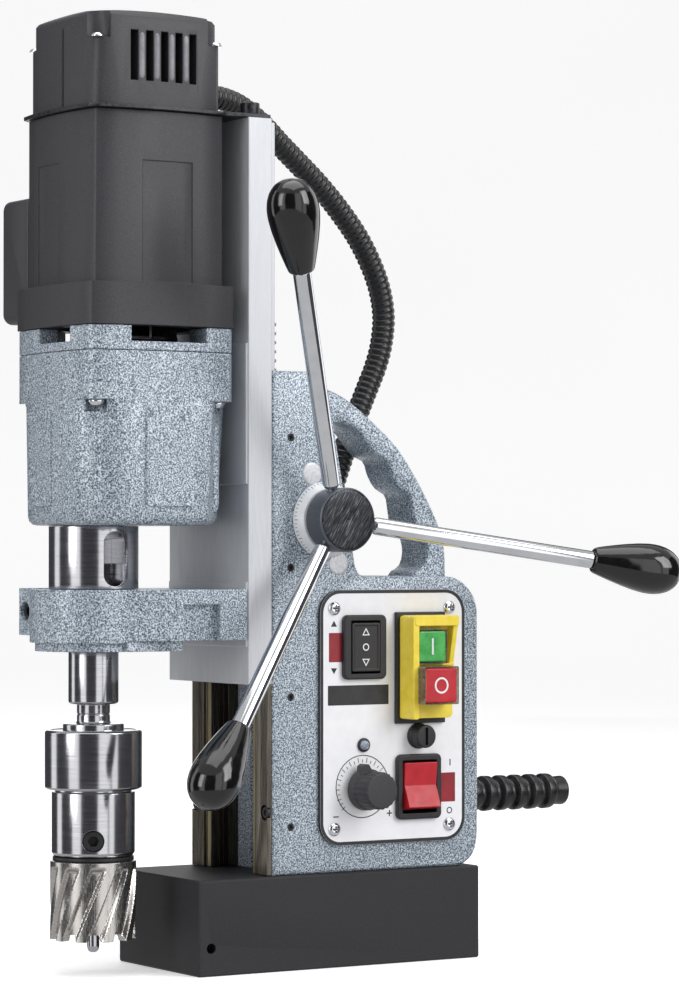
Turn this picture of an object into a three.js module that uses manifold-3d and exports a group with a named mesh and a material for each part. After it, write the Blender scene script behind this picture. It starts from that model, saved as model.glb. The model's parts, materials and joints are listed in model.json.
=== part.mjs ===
// Magnetic drill press. Millimetres, +Z up, drill towards -Y, feed levers and control panel towards +X.
// The origin is the centre of the magnet's underside.
import * as THREE from 'three';
import { mergeVertices } from 'three/addons/utils/BufferGeometryUtils.js';
import Module from 'manifold-3d';

const wasm = await Module();
wasm.setup();

// ---- driving dimensions ----
const MAGNET = { width: 84, length: 168, height: 48 };
const HOUSING = { half: 39, front: -40, top: 303.6, boxTop: 199, back: 85.4 };
const CHANNEL = { half: 31, back: -24.5 };
const RAIL = { front: -42.7, back: -40.1, inner: 26.4, outer: 38.6 };
const WAY = { inner: 21.5, back: -24.8, groove: [-35.6, -30.4], grooveFloor: 26.5 };
const SLIDE = {
  half: 41, lip: 39,
  front: -55, padFront: -56, back: -43, lipBack: -41.4,
  bottom: 145, top: 431,
};
const SLIDE_PADS = [[164, 196.6], [246, 317]];
const TONGUE = { half: 21.1, back: -29.2, flange: [-35.2, -30.8], flangeHalf: 26.1 };
const RACK_HALF = 6;
const FEED_AXIS = { y: -8.6, z: 228 };
const FEED_PINION = { teeth: 14, module: 1.5 };
const LEVER = { root: 49.5, tilt: 18.4, angles: [111, 231, 351] };
const PANEL = { face: 39, thickness: 2, y: [-12.8, 75.6], z: [61.9, 192.3], corner: 12 };
const DRILL_Y = -121.3;
const MOTOR_Y = -103.6;
const MOTOR_GEAR = { teeth: 8, module: 1 };
const WHEEL_GEAR = { teeth: 30, module: 1 };
const STEP_GEAR = { teeth: 10, module: 1.25 };
const SPINDLE_GEAR = { teeth: 24, module: 1.25 };
const CONDUIT_RADIUS = 6.2;
const GAP = 0.3;
const WIRE_HOLE = { x: 28, y: 40, radius: 4 };
const GUARD_HOLE = { y: -77, z: 14, radius: 2.6, depth: 11 };

// ---- materials ----
function finish(color, roughness, metalness) {
  return new THREE.MeshStandardMaterial({ color, roughness, metalness });
}

const hammertone = finish('#96a5b2', 0.5, 0.3);
const blackPlastic = finish('#3b3b40', 0.6, 0);
const blackGloss = finish('#141416', 0.15, 0);
const blackSteel = finish('#38393d', 0.55, 0.3);
const machinedSteel = finish('#a9aaad', 0.3, 0.9);
const chromed = finish('#d5d6da', 0.1, 1);
const anodised = finish('#d2d3da', 0.4, 0.6);
const brass = finish('#a8904f', 0.35, 0.9);
const copper = finish('#a8623a', 0.4, 0.8);
const resin = finish('#5a4632', 0.5, 0);
const yellowPlastic = finish('#f0d746', 0.4, 0);
const greenPlastic = finish('#46aa50', 0.35, 0);
const redPlastic = finish('#c8232d', 0.35, 0);
const panelPaint = finish('#e1e1e8', 0.4, 0.1);
const scalePaint = finish('#d8dadd', 0.35, 0.5);
const boardGreen = finish('#2c6b45', 0.5, 0);
const rubber = finish('#1c1c1e', 0.7, 0);
const clearLens = finish('#c8c8d2', 0.1, 0);

// ---- closed solids ----
function closed(geometry) {
  const bare = new THREE.BufferGeometry();
  bare.setAttribute('position', geometry.getAttribute('position'));
  if (geometry.index) bare.setIndex(geometry.index);
  const merged = mergeVertices(bare, 1e-4);
  const points = merged.getAttribute('position').array;
  const corners = merged.index.array;
  const kept = [];
  let volume = 0;
  for (let i = 0; i < corners.length; i += 3) {
    const [a, b, c] = [corners[i], corners[i + 1], corners[i + 2]];
    if (a === b || b === c || c === a) continue;
    kept.push(a, b, c);
    const [p, q, r] = [a, b, c].map((n) => new THREE.Vector3().fromArray(points, 3 * n));
    volume += p.dot(q.cross(r));
  }
  if (volume < 0) kept.reverse();
  return { points: Float32Array.from(points), corners: Uint32Array.from(kept) };
}

function solid(geometry) {
  const { points, corners } = closed(geometry);
  return new wasm.Manifold(new wasm.Mesh({ numProp: 3, vertProperties: points, triVerts: corners }));
}

function geometryOf(manifold) {
  const mesh = manifold.getMesh();
  const geometry = new THREE.BufferGeometry();
  geometry.setAttribute('position', new THREE.BufferAttribute(mesh.vertProperties, 3));
  geometry.setIndex(new THREE.BufferAttribute(mesh.triVerts, 1));
  geometry.computeVertexNormals();
  return geometry;
}

function cut(base, ...tools) {
  return geometryOf(tools.reduce((left, tool) => left.subtract(solid(tool)), solid(base)));
}

function join(first, ...others) {
  return geometryOf(others.reduce((sum, other) => sum.add(solid(other)), solid(first)));
}

function common(first, second) {
  return geometryOf(solid(first).intersect(solid(second)));
}

// ---- plain shapes; each span is [low, high] ----
const X_AXIS = new THREE.Vector3(1, 0, 0);
const Y_AXIS = new THREE.Vector3(0, 1, 0);
const Z_AXIS = new THREE.Vector3(0, 0, 1);
const TO_X = new THREE.Matrix4().makeBasis(Y_AXIS, Z_AXIS, X_AXIS);
const TO_Y = new THREE.Matrix4().makeBasis(Z_AXIS, X_AXIS, Y_AXIS);

function alongX(geometry) {
  return geometry.applyMatrix4(TO_X);
}

function alongY(geometry) {
  return geometry.applyMatrix4(TO_Y);
}

function box(x, y, z) {
  const geometry = new THREE.BoxGeometry(x[1] - x[0], y[1] - y[0], z[1] - z[0]);
  return geometry.translate((x[0] + x[1]) / 2, (y[0] + y[1]) / 2, (z[0] + z[1]) / 2);
}

function disc(radius, span, segments = 20) {
  const geometry = new THREE.CylinderGeometry(radius, radius, span[1] - span[0], segments);
  return geometry.rotateX(Math.PI / 2).translate(0, 0, (span[0] + span[1]) / 2);
}

function turned(profile, segments = 20) {
  const points = profile.map(([radius, height]) => new THREE.Vector2(radius, height));
  return new THREE.LatheGeometry(points, segments).rotateX(Math.PI / 2);
}

function ring(outer, inner, span, segments = 20) {
  const [low, high] = span;
  return turned([[inner, low], [outer, low], [outer, high], [inner, high], [inner, low]], segments);
}

function prism(shape, span, curveSegments = 6) {
  const geometry = new THREE.ExtrudeGeometry(shape, {
    depth: span[1] - span[0],
    bevelEnabled: false,
    curveSegments,
  });
  return geometry.translate(0, 0, span[0]);
}

function softPrism(shape, span, bevel, curveSegments = 6, bevelSegments = 2) {
  const geometry = new THREE.ExtrudeGeometry(shape, {
    depth: span[1] - span[0] - 2 * bevel,
    bevelThickness: bevel,
    bevelSize: bevel,
    bevelOffset: -bevel,
    bevelSegments,
    curveSegments,
  });
  return geometry.translate(0, 0, span[0] + bevel);
}

function polygon(points) {
  return new THREE.Shape(points.map(([x, y]) => new THREE.Vector2(x, y)));
}

function roundedRectangle(x, y, radius) {
  const shape = new THREE.Shape();
  shape.moveTo(x[1], y[0] + radius);
  shape.lineTo(x[1], y[1] - radius);
  shape.absarc(x[1] - radius, y[1] - radius, radius, 0, Math.PI / 2);
  shape.lineTo(x[0] + radius, y[1]);
  shape.absarc(x[0] + radius, y[1] - radius, radius, Math.PI / 2, Math.PI);
  shape.lineTo(x[0], y[0] + radius);
  shape.absarc(x[0] + radius, y[0] + radius, radius, Math.PI, 1.5 * Math.PI);
  shape.lineTo(x[1] - radius, y[0]);
  shape.absarc(x[1] - radius, y[0] + radius, radius, 1.5 * Math.PI, 2 * Math.PI);
  return shape;
}

// A square whose faces swell outwards by bulge at their middle and whose corners have a flat of chamfer.
function bulgedSquare(half, bulge, chamfer) {
  const shape = new THREE.Shape();
  shape.moveTo(half, -half + chamfer);
  for (let side = 0; side < 4; side += 1) {
    const angle = side * Math.PI / 2;
    const turn = (x, y) => [
      x * Math.cos(angle) - y * Math.sin(angle),
      x * Math.sin(angle) + y * Math.cos(angle),
    ];
    shape.quadraticCurveTo(...turn(half + 2 * bulge, 0), ...turn(half, half - chamfer));
    if (side < 3) shape.lineTo(...turn(half - chamfer, half));
  }
  return shape;
}

// ---- involute gearing, 25 degrees, short teeth ----
const PRESSURE = 25 * Math.PI / 180;
const ADDENDUM = 0.7;
const DEDENDUM = 0.95;
const BACKLASH = 0.22;

function involute(angle) {
  return Math.tan(angle) - angle;
}

function gearShape({ teeth, module }, phase) {
  const pitch = teeth * module / 2;
  const base = pitch * Math.cos(PRESSURE);
  const root = pitch - DEDENDUM * module;
  const tip = pitch + ADDENDUM * module;
  const half = Math.PI / (2 * teeth) - BACKLASH / (2 * pitch);
  const flank = [];
  const start = Math.max(base, root);
  for (let step = 0; step <= 2; step += 1) {
    const radius = start + (tip - start) * step / 2;
    flank.push([radius, half + involute(PRESSURE) - involute(Math.acos(Math.min(1, base / radius)))]);
  }
  if (root < base) flank.unshift([root, flank[0][1]]);
  const points = [];
  for (let tooth = 0; tooth < teeth; tooth += 1) {
    const middle = phase + tooth * 2 * Math.PI / teeth;
    const outward = flank.map(([radius, angle]) => [radius, middle - angle]);
    const inward = flank.map(([radius, angle]) => [radius, middle + angle]).reverse();
    for (const [radius, angle] of [...outward, ...inward]) {
      points.push([radius * Math.cos(angle), radius * Math.sin(angle)]);
    }
  }
  return polygon(points);
}

// ---- the assembly ----
const press = new THREE.Group();
const base = new THREE.Group();
const carriage = new THREE.Group();
press.add(base, carriage);

function place(parent, name, geometry, material) {
  const mesh = new THREE.Mesh(geometry, material);
  mesh.name = name;
  parent.add(mesh);
  return mesh;
}

function groupAt(parent, x, y, z) {
  const group = new THREE.Group();
  group.position.set(x, y, z);
  parent.add(group);
  return group;
}

// ---- magnet: steel block with a ring groove underneath for the coil ----
const COIL = { innerX: 20, outerX: 36, innerY: 58, outerY: 75, top: 32, bottom: 6 };

function rectangularRing(outerX, outerY, innerX, innerY, span) {
  const outside = box([-outerX, outerX], [-outerY, outerY], span);
  const inside = box([-innerX, innerX], [-innerY, innerY], [span[0] - 1, span[1] + 1]);
  return cut(outside, inside);
}

function addMagnet() {
  const side = [-MAGNET.width / 2, MAGNET.width / 2];
  const length = [-MAGNET.length / 2, MAGNET.length / 2];
  const outline = roundedRectangle(side, length, 1);
  const block = softPrism(outline, [0, MAGNET.height], 0.8, 2, 1);
  const groove = rectangularRing(COIL.outerX, COIL.outerY, COIL.innerX, COIL.innerY, [-1, COIL.top]);
  const guardHoles = [side[0] - 1, side[1] - GUARD_HOLE.depth].map((start) => (
    alongX(disc(GUARD_HOLE.radius, [start, start + GUARD_HOLE.depth + 1], 16))
      .translate(0, GUARD_HOLE.y, GUARD_HOLE.z)
  ));
  const wireHole = disc(WIRE_HOLE.radius, [COIL.top - 1, MAGNET.height + 1], 16)
    .translate(WIRE_HOLE.x, WIRE_HOLE.y, 0);
  place(base, 'magnet_body', cut(block, groove, ...guardHoles, wireHole), blackSteel);

  const coilGap = 0.5;
  const ringAt = (span) => rectangularRing(
    COIL.outerX - coilGap, COIL.outerY - coilGap, COIL.innerX + coilGap, COIL.innerY + coilGap, span,
  );
  place(base, 'magnet_coil', ringAt([COIL.bottom, COIL.top - coilGap]), copper);
  place(base, 'magnet_potting', ringAt([0.6, COIL.bottom - GAP]), resin);
}

// ---- cast housing: column with the slide channel, electronics box and arch handle ----
const BAY = { x: [-33, 40], y: [-2, 66], z: [72, 182], corner: 12 };
const BOOT = { x: 14, z: 83, end: 157 };
const CONDUIT_FOOT = { x: -23.5, y: 26.5 };
const PANEL_SCREWS = [[-4.4, 182.9], [65.9, 182.9], [-4.4, 70.3], [65.9, 70.3]];
const GIB_SCREW = { y: -29, radius: 2.1, heights: [269.8, 203.8, 138.1, 72.3] };
const RACK_GROOVE = { half: 9.5, back: -17 };
const HANDLE_HALF = 13.2;

function housingOutline() {
  const shape = new THREE.Shape();
  shape.moveTo(HOUSING.front, MAGNET.height);
  shape.lineTo(73, MAGNET.height);
  shape.quadraticCurveTo(HOUSING.back, 50, HOUSING.back, 66);
  shape.lineTo(HOUSING.back, HOUSING.boxTop - 20);
  shape.absarc(HOUSING.back - 20, HOUSING.boxTop - 20, 20, 0, Math.PI / 2);
  shape.lineTo(17, HOUSING.boxTop);
  shape.quadraticCurveTo(10.5, HOUSING.boxTop, 9.3, 208);
  shape.lineTo(-2, 271);
  shape.lineTo(-9, HOUSING.top);
  shape.lineTo(HOUSING.front, HOUSING.top);
  return shape;
}

function handleOutline() {
  const outer = new THREE.SplineCurve([
    [-12, 303.2], [11.5, 295.6], [25.6, 288.4], [48.5, 270.5], [61.1, 255.4], [72, 238], [79.5, 223],
    [82.4, 210], [82.5, 192],
  ].map(([y, z]) => new THREE.Vector2(y, z)));
  const inner = new THREE.SplineCurve([
    [60, 192], [62, 200.2], [68.5, 204.5], [70.7, 212], [68.8, 219.5], [63.2, 225.5], [61.3, 233.5],
    [59.6, 241.2], [53.2, 245.2], [48.6, 252], [45.8, 259.2], [38.5, 262.6], [31.5, 270.5],
    [24.5, 276.8], [12, 278.6], [-4, 268], [-14, 262],
  ].map(([y, z]) => new THREE.Vector2(y, z)));
  const points = [...outer.getPoints(20), ...inner.getPoints(38)];
  return new THREE.Shape(points);
}

function addHousing() {
  const side = [-HOUSING.half, HOUSING.half];
  const body = alongX(softPrism(housingOutline(), side, 1.5, 6, 2));
  const handle = alongX(softPrism(handleOutline(), [-HANDLE_HALF, HANDLE_HALF], 2, 2, 2));
  const high = [MAGNET.height - 1, HOUSING.top + 1];
  const channel = box([-CHANNEL.half, CHANNEL.half], [HOUSING.front - 1, CHANNEL.back], high);
  const rackGroove = box([-RACK_GROOVE.half, RACK_GROOVE.half], [CHANNEL.back - 1, RACK_GROOVE.back], high);
  const bay = alongX(prism(roundedRectangle(BAY.y, BAY.z, BAY.corner), BAY.x, 3));
  const atFeed = (geometry) => alongX(geometry).translate(0, FEED_AXIS.y, FEED_AXIS.z);
  const rightBore = atFeed(disc(12.5, [-9.5, 40]));
  const leftBore = atFeed(disc(10.2, [-36.5, -9]));
  const bootHole = alongY(disc(8, [BAY.y[1] - 1, HOUSING.back + 1], 24)).translate(BOOT.x, 0, BOOT.z);
  const conduitHole = disc(5, [BAY.z[1] - 1, HOUSING.boxTop + 1], 16)
    .translate(CONDUIT_FOOT.x, CONDUIT_FOOT.y, 0);
  const wireHole = disc(WIRE_HOLE.radius, [MAGNET.height - 1, BAY.z[0] + 1], 16)
    .translate(WIRE_HOLE.x, WIRE_HOLE.y, 0);
  const gibHoles = GIB_SCREW.heights.map((height) => (
    alongX(disc(GIB_SCREW.radius, [CHANNEL.half - 1, HOUSING.half + 1], 12)).translate(0, GIB_SCREW.y, height)
  ));
  const screwHoles = PANEL_SCREWS.map(([y, z]) => (
    alongX(disc(2.1, [28, HOUSING.half + 1], 12)).translate(0, y, z)
  ));
  const openings = [channel, rackGroove, bay, rightBore, leftBore, bootHole, conduitHole, wireHole];
  const casting = cut(join(body, handle), ...openings, ...gibHoles, ...screwHoles);
  place(base, 'housing', casting, hammertone);
}

function addGuides() {
  const span = [MAGNET.height + GAP, HOUSING.top - 0.4];
  const gib = { inner: 29, outer: 30.7 };
  const screwHeights = [80, 180, 280];
  const screwX = 35.6;
  const screwRadius = 3.9;
  for (const [name, sign, wayOuter] of [
    ['guide_rail_right', 1, gib.inner - GAP], ['guide_rail_left', -1, gib.outer],
  ]) {
    const mirrored = (near, far, y) => box([sign * near, sign * far].sort((a, b) => a - b), y, span);
    const cap = mirrored(RAIL.inner, RAIL.outer, [RAIL.front, RAIL.back]);
    const way = mirrored(WAY.inner, wayOuter, [RAIL.back - 0.9, WAY.back]);
    const groove = mirrored(WAY.inner - 1, WAY.grooveFloor, WAY.groove);
    const pockets = screwHeights.map((height) => (
      alongY(disc(screwRadius, [RAIL.front - 1, RAIL.back - 0.6], 20)).translate(sign * screwX, 0, height)
    ));
    place(base, name, cut(join(cap, way), groove, ...pockets), machinedSteel);
  }
  const strip = box([gib.inner, gib.outer], [-39.5, CHANNEL.back - 1], span);
  place(base, 'gib_strip', strip, brass);
}

function addPinionBushes() {
  const right = groupAt(base, 0, FEED_AXIS.y, FEED_AXIS.z);
  place(right, 'pinion_bush_right', alongX(ring(12.3, 8.2, [12, 38.6], 20)), brass);
  place(right, 'pinion_bush_left', alongX(ring(10, 8.2, [-36, -12], 20)), brass);
}

// ---- control panel and what it carries. On each switch, bezel, hole and body are half sizes [y, z]. ----
const OUTER_FACE = PANEL.face + PANEL.thickness;
const ROTATION_SWITCH = { y: 12.8, z: 163, bezel: [12.8, 16.5], hole: [8.8, 13.6], body: [10.6, 14.6] };
const MAGNET_SWITCH = { y: 45.9, z: 90.5, bezel: [13.5, 16.8], hole: [10.4, 13.6], body: [11.8, 14.6] };
const SAFETY_SWITCH = { y: [32, 62], z: [123.2, 180.7] };
const START_BUTTON = { y: [38, 54.4], z: [155.1, 171.1], x: [48, 55.5] };
const STOP_BUTTON = { y: [37.4, 56.6], z: [134.4, 152.2], x: [48, 62.5] };
const FUSE = { y: 46.4, z: 116.6, radius: 5.8 };
const LED = { y: 13.1, z: 112.8 };
const DIAL = { y: 12.6, z: 90.3 };

function around(centre, half) {
  return [centre - half, centre + half];
}

function addPanelPlate() {
  const plate = alongX(prism(roundedRectangle(PANEL.y, PANEL.z, PANEL.corner), [PANEL.face, OUTER_FACE], 4));
  const through = [PANEL.face - 1, OUTER_FACE + 1];
  const windowFor = ({ y, z, body }) => box(through, around(y, body[0] + GAP), around(z, body[1] + GAP));
  const hole = (radius, y, z, sides = 20) => alongX(disc(radius, through, sides)).translate(0, y, z);
  const wiring = box(through, [40, 56], [135, 170]);
  const openings = [
    windowFor(ROTATION_SWITCH), windowFor(MAGNET_SWITCH), wiring,
    hole(FUSE.radius, FUSE.y, FUSE.z), hole(3, LED.y, LED.z), hole(3.8, DIAL.y, DIAL.z),
    ...PANEL_SCREWS.map(([y, z]) => hole(2.2, y, z, 12)),
  ];
  place(base, 'control_panel', cut(plate, ...openings), panelPaint);
}

function addPanelScrews() {
  const head = turned([
    [0, -11], [1.8, -11], [1.8, 0.1], [3.5, 0.1], [3.4, 1.1], [2.2, 1.9], [0, 2],
  ], 10);
  const slots = [box([-2, 2], [-0.4, 0.4], [1, 3]), box([-0.4, 0.4], [-2, 2], [1, 3])];
  const screw = alongX(cut(head, ...slots));
  PANEL_SCREWS.forEach(([y, z], index) => {
    const mesh = place(base, `panel_screw_${index + 1}`, screw, chromed);
    mesh.position.set(OUTER_FACE, y, z);
  });
}

function switchBody({ bezel, hole, body }) {
  const front = alongX(softPrism(
    roundedRectangle([-bezel[0], bezel[0]], [-bezel[1], bezel[1]], 3), [-0.6, 3], 0.6, 3, 1,
  ));
  const rear = box([-15, 1], [-body[0], body[0]], [-body[1], body[1]]);
  const well = box([-11, 4], [-hole[0], hole[0]], [-hole[1], hole[1]]);
  const flush = box([-0.7, 0.05], [-bezel[0] - 1, bezel[0] + 1], [-bezel[1] - 1, bezel[1] + 1]);
  return cut(join(cut(front, flush), rear), well);
}

function rocker(profile, halfWidth) {
  return alongY(prism(polygon(profile.map(([x, z]) => [z, x])), [-halfWidth, halfWidth]));
}

function addRockers() {
  const pivot = OUTER_FACE - 1;
  const settings = [
    {
      name: 'rotation', at: ROTATION_SWITCH, color: blackPlastic, tilt: 0,
      profile: [[4.6, 12.4], [3.4, 0], [4.6, -12.4], [-1, -12.2], [-6, -4], [-6, 4], [-1, 12.2]],
    },
    {
      name: 'magnet', at: MAGNET_SWITCH, color: redPlastic, tilt: -9,
      profile: [[7.4, 11.6], [4.4, 0], [7.4, -11.6], [-1, -12], [-6, -4], [-6, 4], [-1, 12]],
    },
  ];
  for (const { name, at, color, tilt, profile } of settings) {
    const body = place(base, `${name}_switch`, switchBody(at), blackPlastic);
    body.position.set(OUTER_FACE, at.y, at.z);
    const paddle = place(base, `${name}_rocker`, rocker(profile, at.hole[0] - 0.5), color);
    paddle.position.set(pivot, at.y, at.z);
    paddle.rotation.y = THREE.MathUtils.degToRad(tilt);
  }
}

function addSafetySwitch() {
  const { y, z } = SAFETY_SWITCH;
  const seat = box([OUTER_FACE, OUTER_FACE + 2.3], y, z);
  const rear = box([24, OUTER_FACE + 1], [40.3, 55.7], [135.3, 169.7]);
  place(base, 'safety_switch_base', join(seat, rear), blackPlastic);

  const coverOutline = roundedRectangle([y[0] + 1.6, y[1] - 0.2], [z[0] + 2.6, z[1] - 1.6], 3);
  const block = alongX(softPrism(coverOutline, [OUTER_FACE + 2.6, 57], 1.2, 3, 1));
  const wells = [START_BUTTON, STOP_BUTTON].map((button) => box(
    [OUTER_FACE + 3.6, 58], [button.y[0] - 0.5, button.y[1] + 0.5], [button.z[0] - 0.5, button.z[1] + 0.5],
  ));
  place(base, 'safety_switch_cover', cut(block, ...wells), yellowPlastic);

  for (const [name, button, color] of [
    ['start_button', START_BUTTON, greenPlastic], ['stop_button', STOP_BUTTON, redPlastic],
  ]) {
    const face = roundedRectangle(button.y, button.z, 1.2);
    place(base, name, alongX(softPrism(face, button.x, 0.5, 2, 1)), color);
  }
}

function addSmallControls() {
  const fuse = cut(
    turned([
      [0, -28], [5.2, -28], [5.2, 0.05], [6.6, 0.05], [6.6, 2], [6, 2.2], [6, 8], [5.2, 8.6], [0, 8.6],
    ], 24),
    box([-4.5, 4.5], [-0.8, 0.8], [6.8, 10]),
  );
  place(base, 'fuse_holder', alongX(fuse), blackPlastic).position.set(OUTER_FACE, FUSE.y, FUSE.z);

  const lens = turned([
    [0, -8], [2.6, -8], [2.6, 0.05], [3.6, 0.05], [3.6, 1], [2.6, 1.3], [2, 2.6], [0, 3.2],
  ], 20);
  place(base, 'led_lens', alongX(lens), clearLens).position.set(OUTER_FACE, LED.y, LED.z);

  const dial = groupAt(base, OUTER_FACE, DIAL.y, DIAL.z);
  const pot = turned([
    [0, -19], [9, -19], [9, -2.6], [3.4, -2.6], [3.4, 2.4], [2.4, 2.4], [2.4, 11], [0, 11],
  ], 24);
  place(dial, 'speed_pot', alongX(pot), machinedSteel);

  const grip = turned([
    [2.7, 2.8], [10.8, 2.8], [10.4, 7], [9.7, 8], [9.5, 18], [8.7, 19.2], [0, 19.2], [0, 12.5], [2.7, 12.5],
    [2.7, 2.8],
  ], 20);
  const nose = prism(polygon([[0, -6.5], [13.2, -2.2], [13.8, 0], [13.2, 2.2], [0, 6.5]]), [3, 9]);
  const socket = disc(3.9, [2, 3.2], 16);
  const well = disc(2.7, [2.5, 12.5], 16);
  const knob = alongX(cut(join(grip, nose), socket, well));
  const knobMesh = place(dial, 'speed_knob', knob, blackPlastic);
  knobMesh.rotation.x = THREE.MathUtils.degToRad(105);
}

function addElectronics() {
  const board = box([8, 9.6], [3, 61], [84, 170]);
  const parts = [
    box([-20, 8.5], [6, 34], [88, 120]), box([-12, 8.5], [40, 56], [90, 108]),
    alongX(disc(9, [-22, 8.5], 20)).translate(0, 48, 128),
    box([-8, 8.5], [8, 30], [130, 150]), box([-4, 8.5], [36, 58], [146, 164]),
  ];
  place(base, 'circuit_board', join(board, ...parts), boardGreen);
}

function addCableBoot() {
  const start = HOUSING.back;
  const profile = [
    [3.4, start - 8], [7.6, start - 8], [7.6, start + GAP], [10.6, start + GAP], [10.6, start + 5],
  ];
  const ribs = 6;
  const pitch = (BOOT.end - 9 - (start + 5)) / ribs;
  for (let rib = 0; rib < ribs; rib += 1) {
    const from = start + 5 + rib * pitch;
    profile.push([7, from + 0.5], [7, from + 0.35 * pitch]);
    profile.push([9.5, from + 0.5 * pitch], [9.2, from + 0.95 * pitch]);
  }
  profile.push([7.4, BOOT.end - 8], [7.8, BOOT.end - 1], [6.8, BOOT.end], [3.4, BOOT.end], [3.4, start - 8]);
  const boot = place(base, 'cable_boot', alongY(turned(profile, 14)), rubber);
  boot.position.set(BOOT.x, 0, BOOT.z);
}

// ---- conduit from the electronics box to the motor cap ----
const CONDUIT_ROUTE = [
  [-12, -55.6, 447], [-12.6, -47, 447.6], [-14.5, -36, 446.6], [-17, -24.7, 443.2], [-19, -11.4, 435.2],
  [-20.5, 0, 426.2], [-21.5, 12, 416.8], [-22, 24.3, 406.6], [-22.5, 36.8, 394.6], [-23, 49, 380.6],
  [-23.2, 58, 366.2], [-23.4, 64, 352], [-23.5, 66.5, 337.5], [-23.5, 65, 323], [-23.5, 61.4, 311],
  [-23.5, 56.5, 300], [-23.5, 50.6, 287], [-23.5, 45, 274], [-23.5, 39.6, 260], [-23.5, 34.4, 246],
  [-23.5, 29.6, 231], [-23.5, 27, 219], [-23.5, 26.5, 213.4],
];
const GLAND_TOP = 212.6;

function addConduit() {
  const route = new THREE.CatmullRomCurve3(CONDUIT_ROUTE.map((point) => new THREE.Vector3(...point)));
  const section = polygon(Array.from({ length: 8 }, (_, side) => {
    const angle = side * 2 * Math.PI / 8;
    return [CONDUIT_RADIUS * Math.cos(angle), CONDUIT_RADIUS * Math.sin(angle)];
  }));
  const hose = new THREE.ExtrudeGeometry(section, { steps: 32, bevelEnabled: false, extrudePath: route });
  place(base, 'conduit', hose, rubber);

  const glandProfile = (length) => [
    [4, 0], [9, 0], [9, 5], [8, 5.5], [8, length - 1], [7.2, length], [4, length], [4, 0],
  ];
  const lowerGland = turned(glandProfile(GLAND_TOP - HOUSING.boxTop), 12);
  const foot = place(base, 'conduit_gland_lower', lowerGland, rubber);
  foot.position.set(CONDUIT_FOOT.x, CONDUIT_FOOT.y, HOUSING.boxTop);
  const [x, y, z] = CONDUIT_ROUTE[0];
  const capBack = MOTOR_Y + CAP.half + BULGE + 0.1;
  const upperGland = alongY(turned(glandProfile(y - 1 - capBack), 12));
  const head = place(carriage, 'conduit_gland_upper', upperGland, rubber);
  head.position.set(x, capBack, z);
}

// ---- feed drive: pinion shaft, hub with three levers, depth scale ring ----
function addFeedDrive() {
  const feed = groupAt(press, 0, FEED_AXIS.y, FEED_AXIS.z);
  const shaft = turned([[0, -35.6], [8, -35.6], [8, 57.5], [0, 57.5]]);
  const towardsRack = Math.PI;
  const teeth = prism(gearShape(FEED_PINION, towardsRack), [-RACK_HALF - 0.5, RACK_HALF + 0.5]);
  place(feed, 'pinion_shaft', alongX(join(shaft, teeth)), machinedSteel);

  const scale = turned([
    [8.3, 39.4], [19.6, 39.4], [19.6, 40.4], [16.6, 45.4], [8.3, 45.4], [8.3, 39.4],
  ], 24);
  place(feed, 'scale_ring', alongX(scale), scalePaint);

  const tilt = THREE.MathUtils.degToRad(LEVER.tilt);
  const leverFrames = LEVER.angles.map((degrees) => {
    const angle = THREE.MathUtils.degToRad(degrees);
    const direction = new THREE.Vector3(
      Math.sin(tilt), Math.cos(tilt) * Math.cos(angle), Math.cos(tilt) * Math.sin(angle),
    );
    return new THREE.Quaternion().setFromUnitVectors(Z_AXIS, direction);
  });
  const studHoles = leverFrames.map((turn) => (
    disc(3.4, [8.9, 24], 16).applyQuaternion(turn).translate(LEVER.root, 0, 0)
  ));
  const hub = turned([
    [8.3, 45.8], [15.2, 45.8], [16.3, 46.8], [16.3, 60.6], [14.9, 62], [0, 62], [0, 58], [8.3, 58],
    [8.3, 45.8],
  ], 24);
  place(feed, 'feed_hub', cut(alongX(hub), ...studHoles), blackSteel);

  const rod = turned([
    [0, 10], [3, 10], [3, 19], [3.6, 19], [4.5, 20.8], [4.5, 137.2], [3, 137.2], [3, 158], [0, 158],
  ], 12);
  const knob = turned([
    [3.3, 137.5], [6.2, 137.5], [7.4, 139.5], [10.4, 152], [12.6, 163], [13, 169], [12.2, 175.5],
    [9.6, 181.2], [5.4, 184.6], [0, 185.5], [0, 159], [3.3, 159], [3.3, 137.5],
  ], 16);
  leverFrames.forEach((turn, index) => {
    const lever = groupAt(feed, LEVER.root, 0, 0);
    lever.quaternion.copy(turn);
    place(lever, `lever_rod_${index + 1}`, rod, chromed);
    place(lever, `lever_knob_${index + 1}`, knob, blackGloss);
  });
}

// ---- slide with its tongue and rack ----
function addSlide() {
  const high = [SLIDE.bottom, SLIDE.top];
  const plate = box([-SLIDE.half, SLIDE.half], [SLIDE.front, SLIDE.back], high);
  const lipSpans = [[SLIDE.lip, SLIDE.half], [-SLIDE.half, -SLIDE.lip]];
  const lips = lipSpans.map((x) => box(x, [SLIDE.back - 1, SLIDE.lipBack], high));
  const neck = box([-TONGUE.half, TONGUE.half], [SLIDE.back - 1, TONGUE.back], high);
  const flange = box([-TONGUE.flangeHalf, TONGUE.flangeHalf], TONGUE.flange, high);
  const pads = SLIDE_PADS.map((span) => (
    box([-SLIDE.half + 1, SLIDE.half - 1], [SLIDE.padFront, SLIDE.front + 1], span)
  ));
  place(carriage, 'slide', join(plate, ...lips, neck, flange, ...pads), anodised);
}

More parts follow.
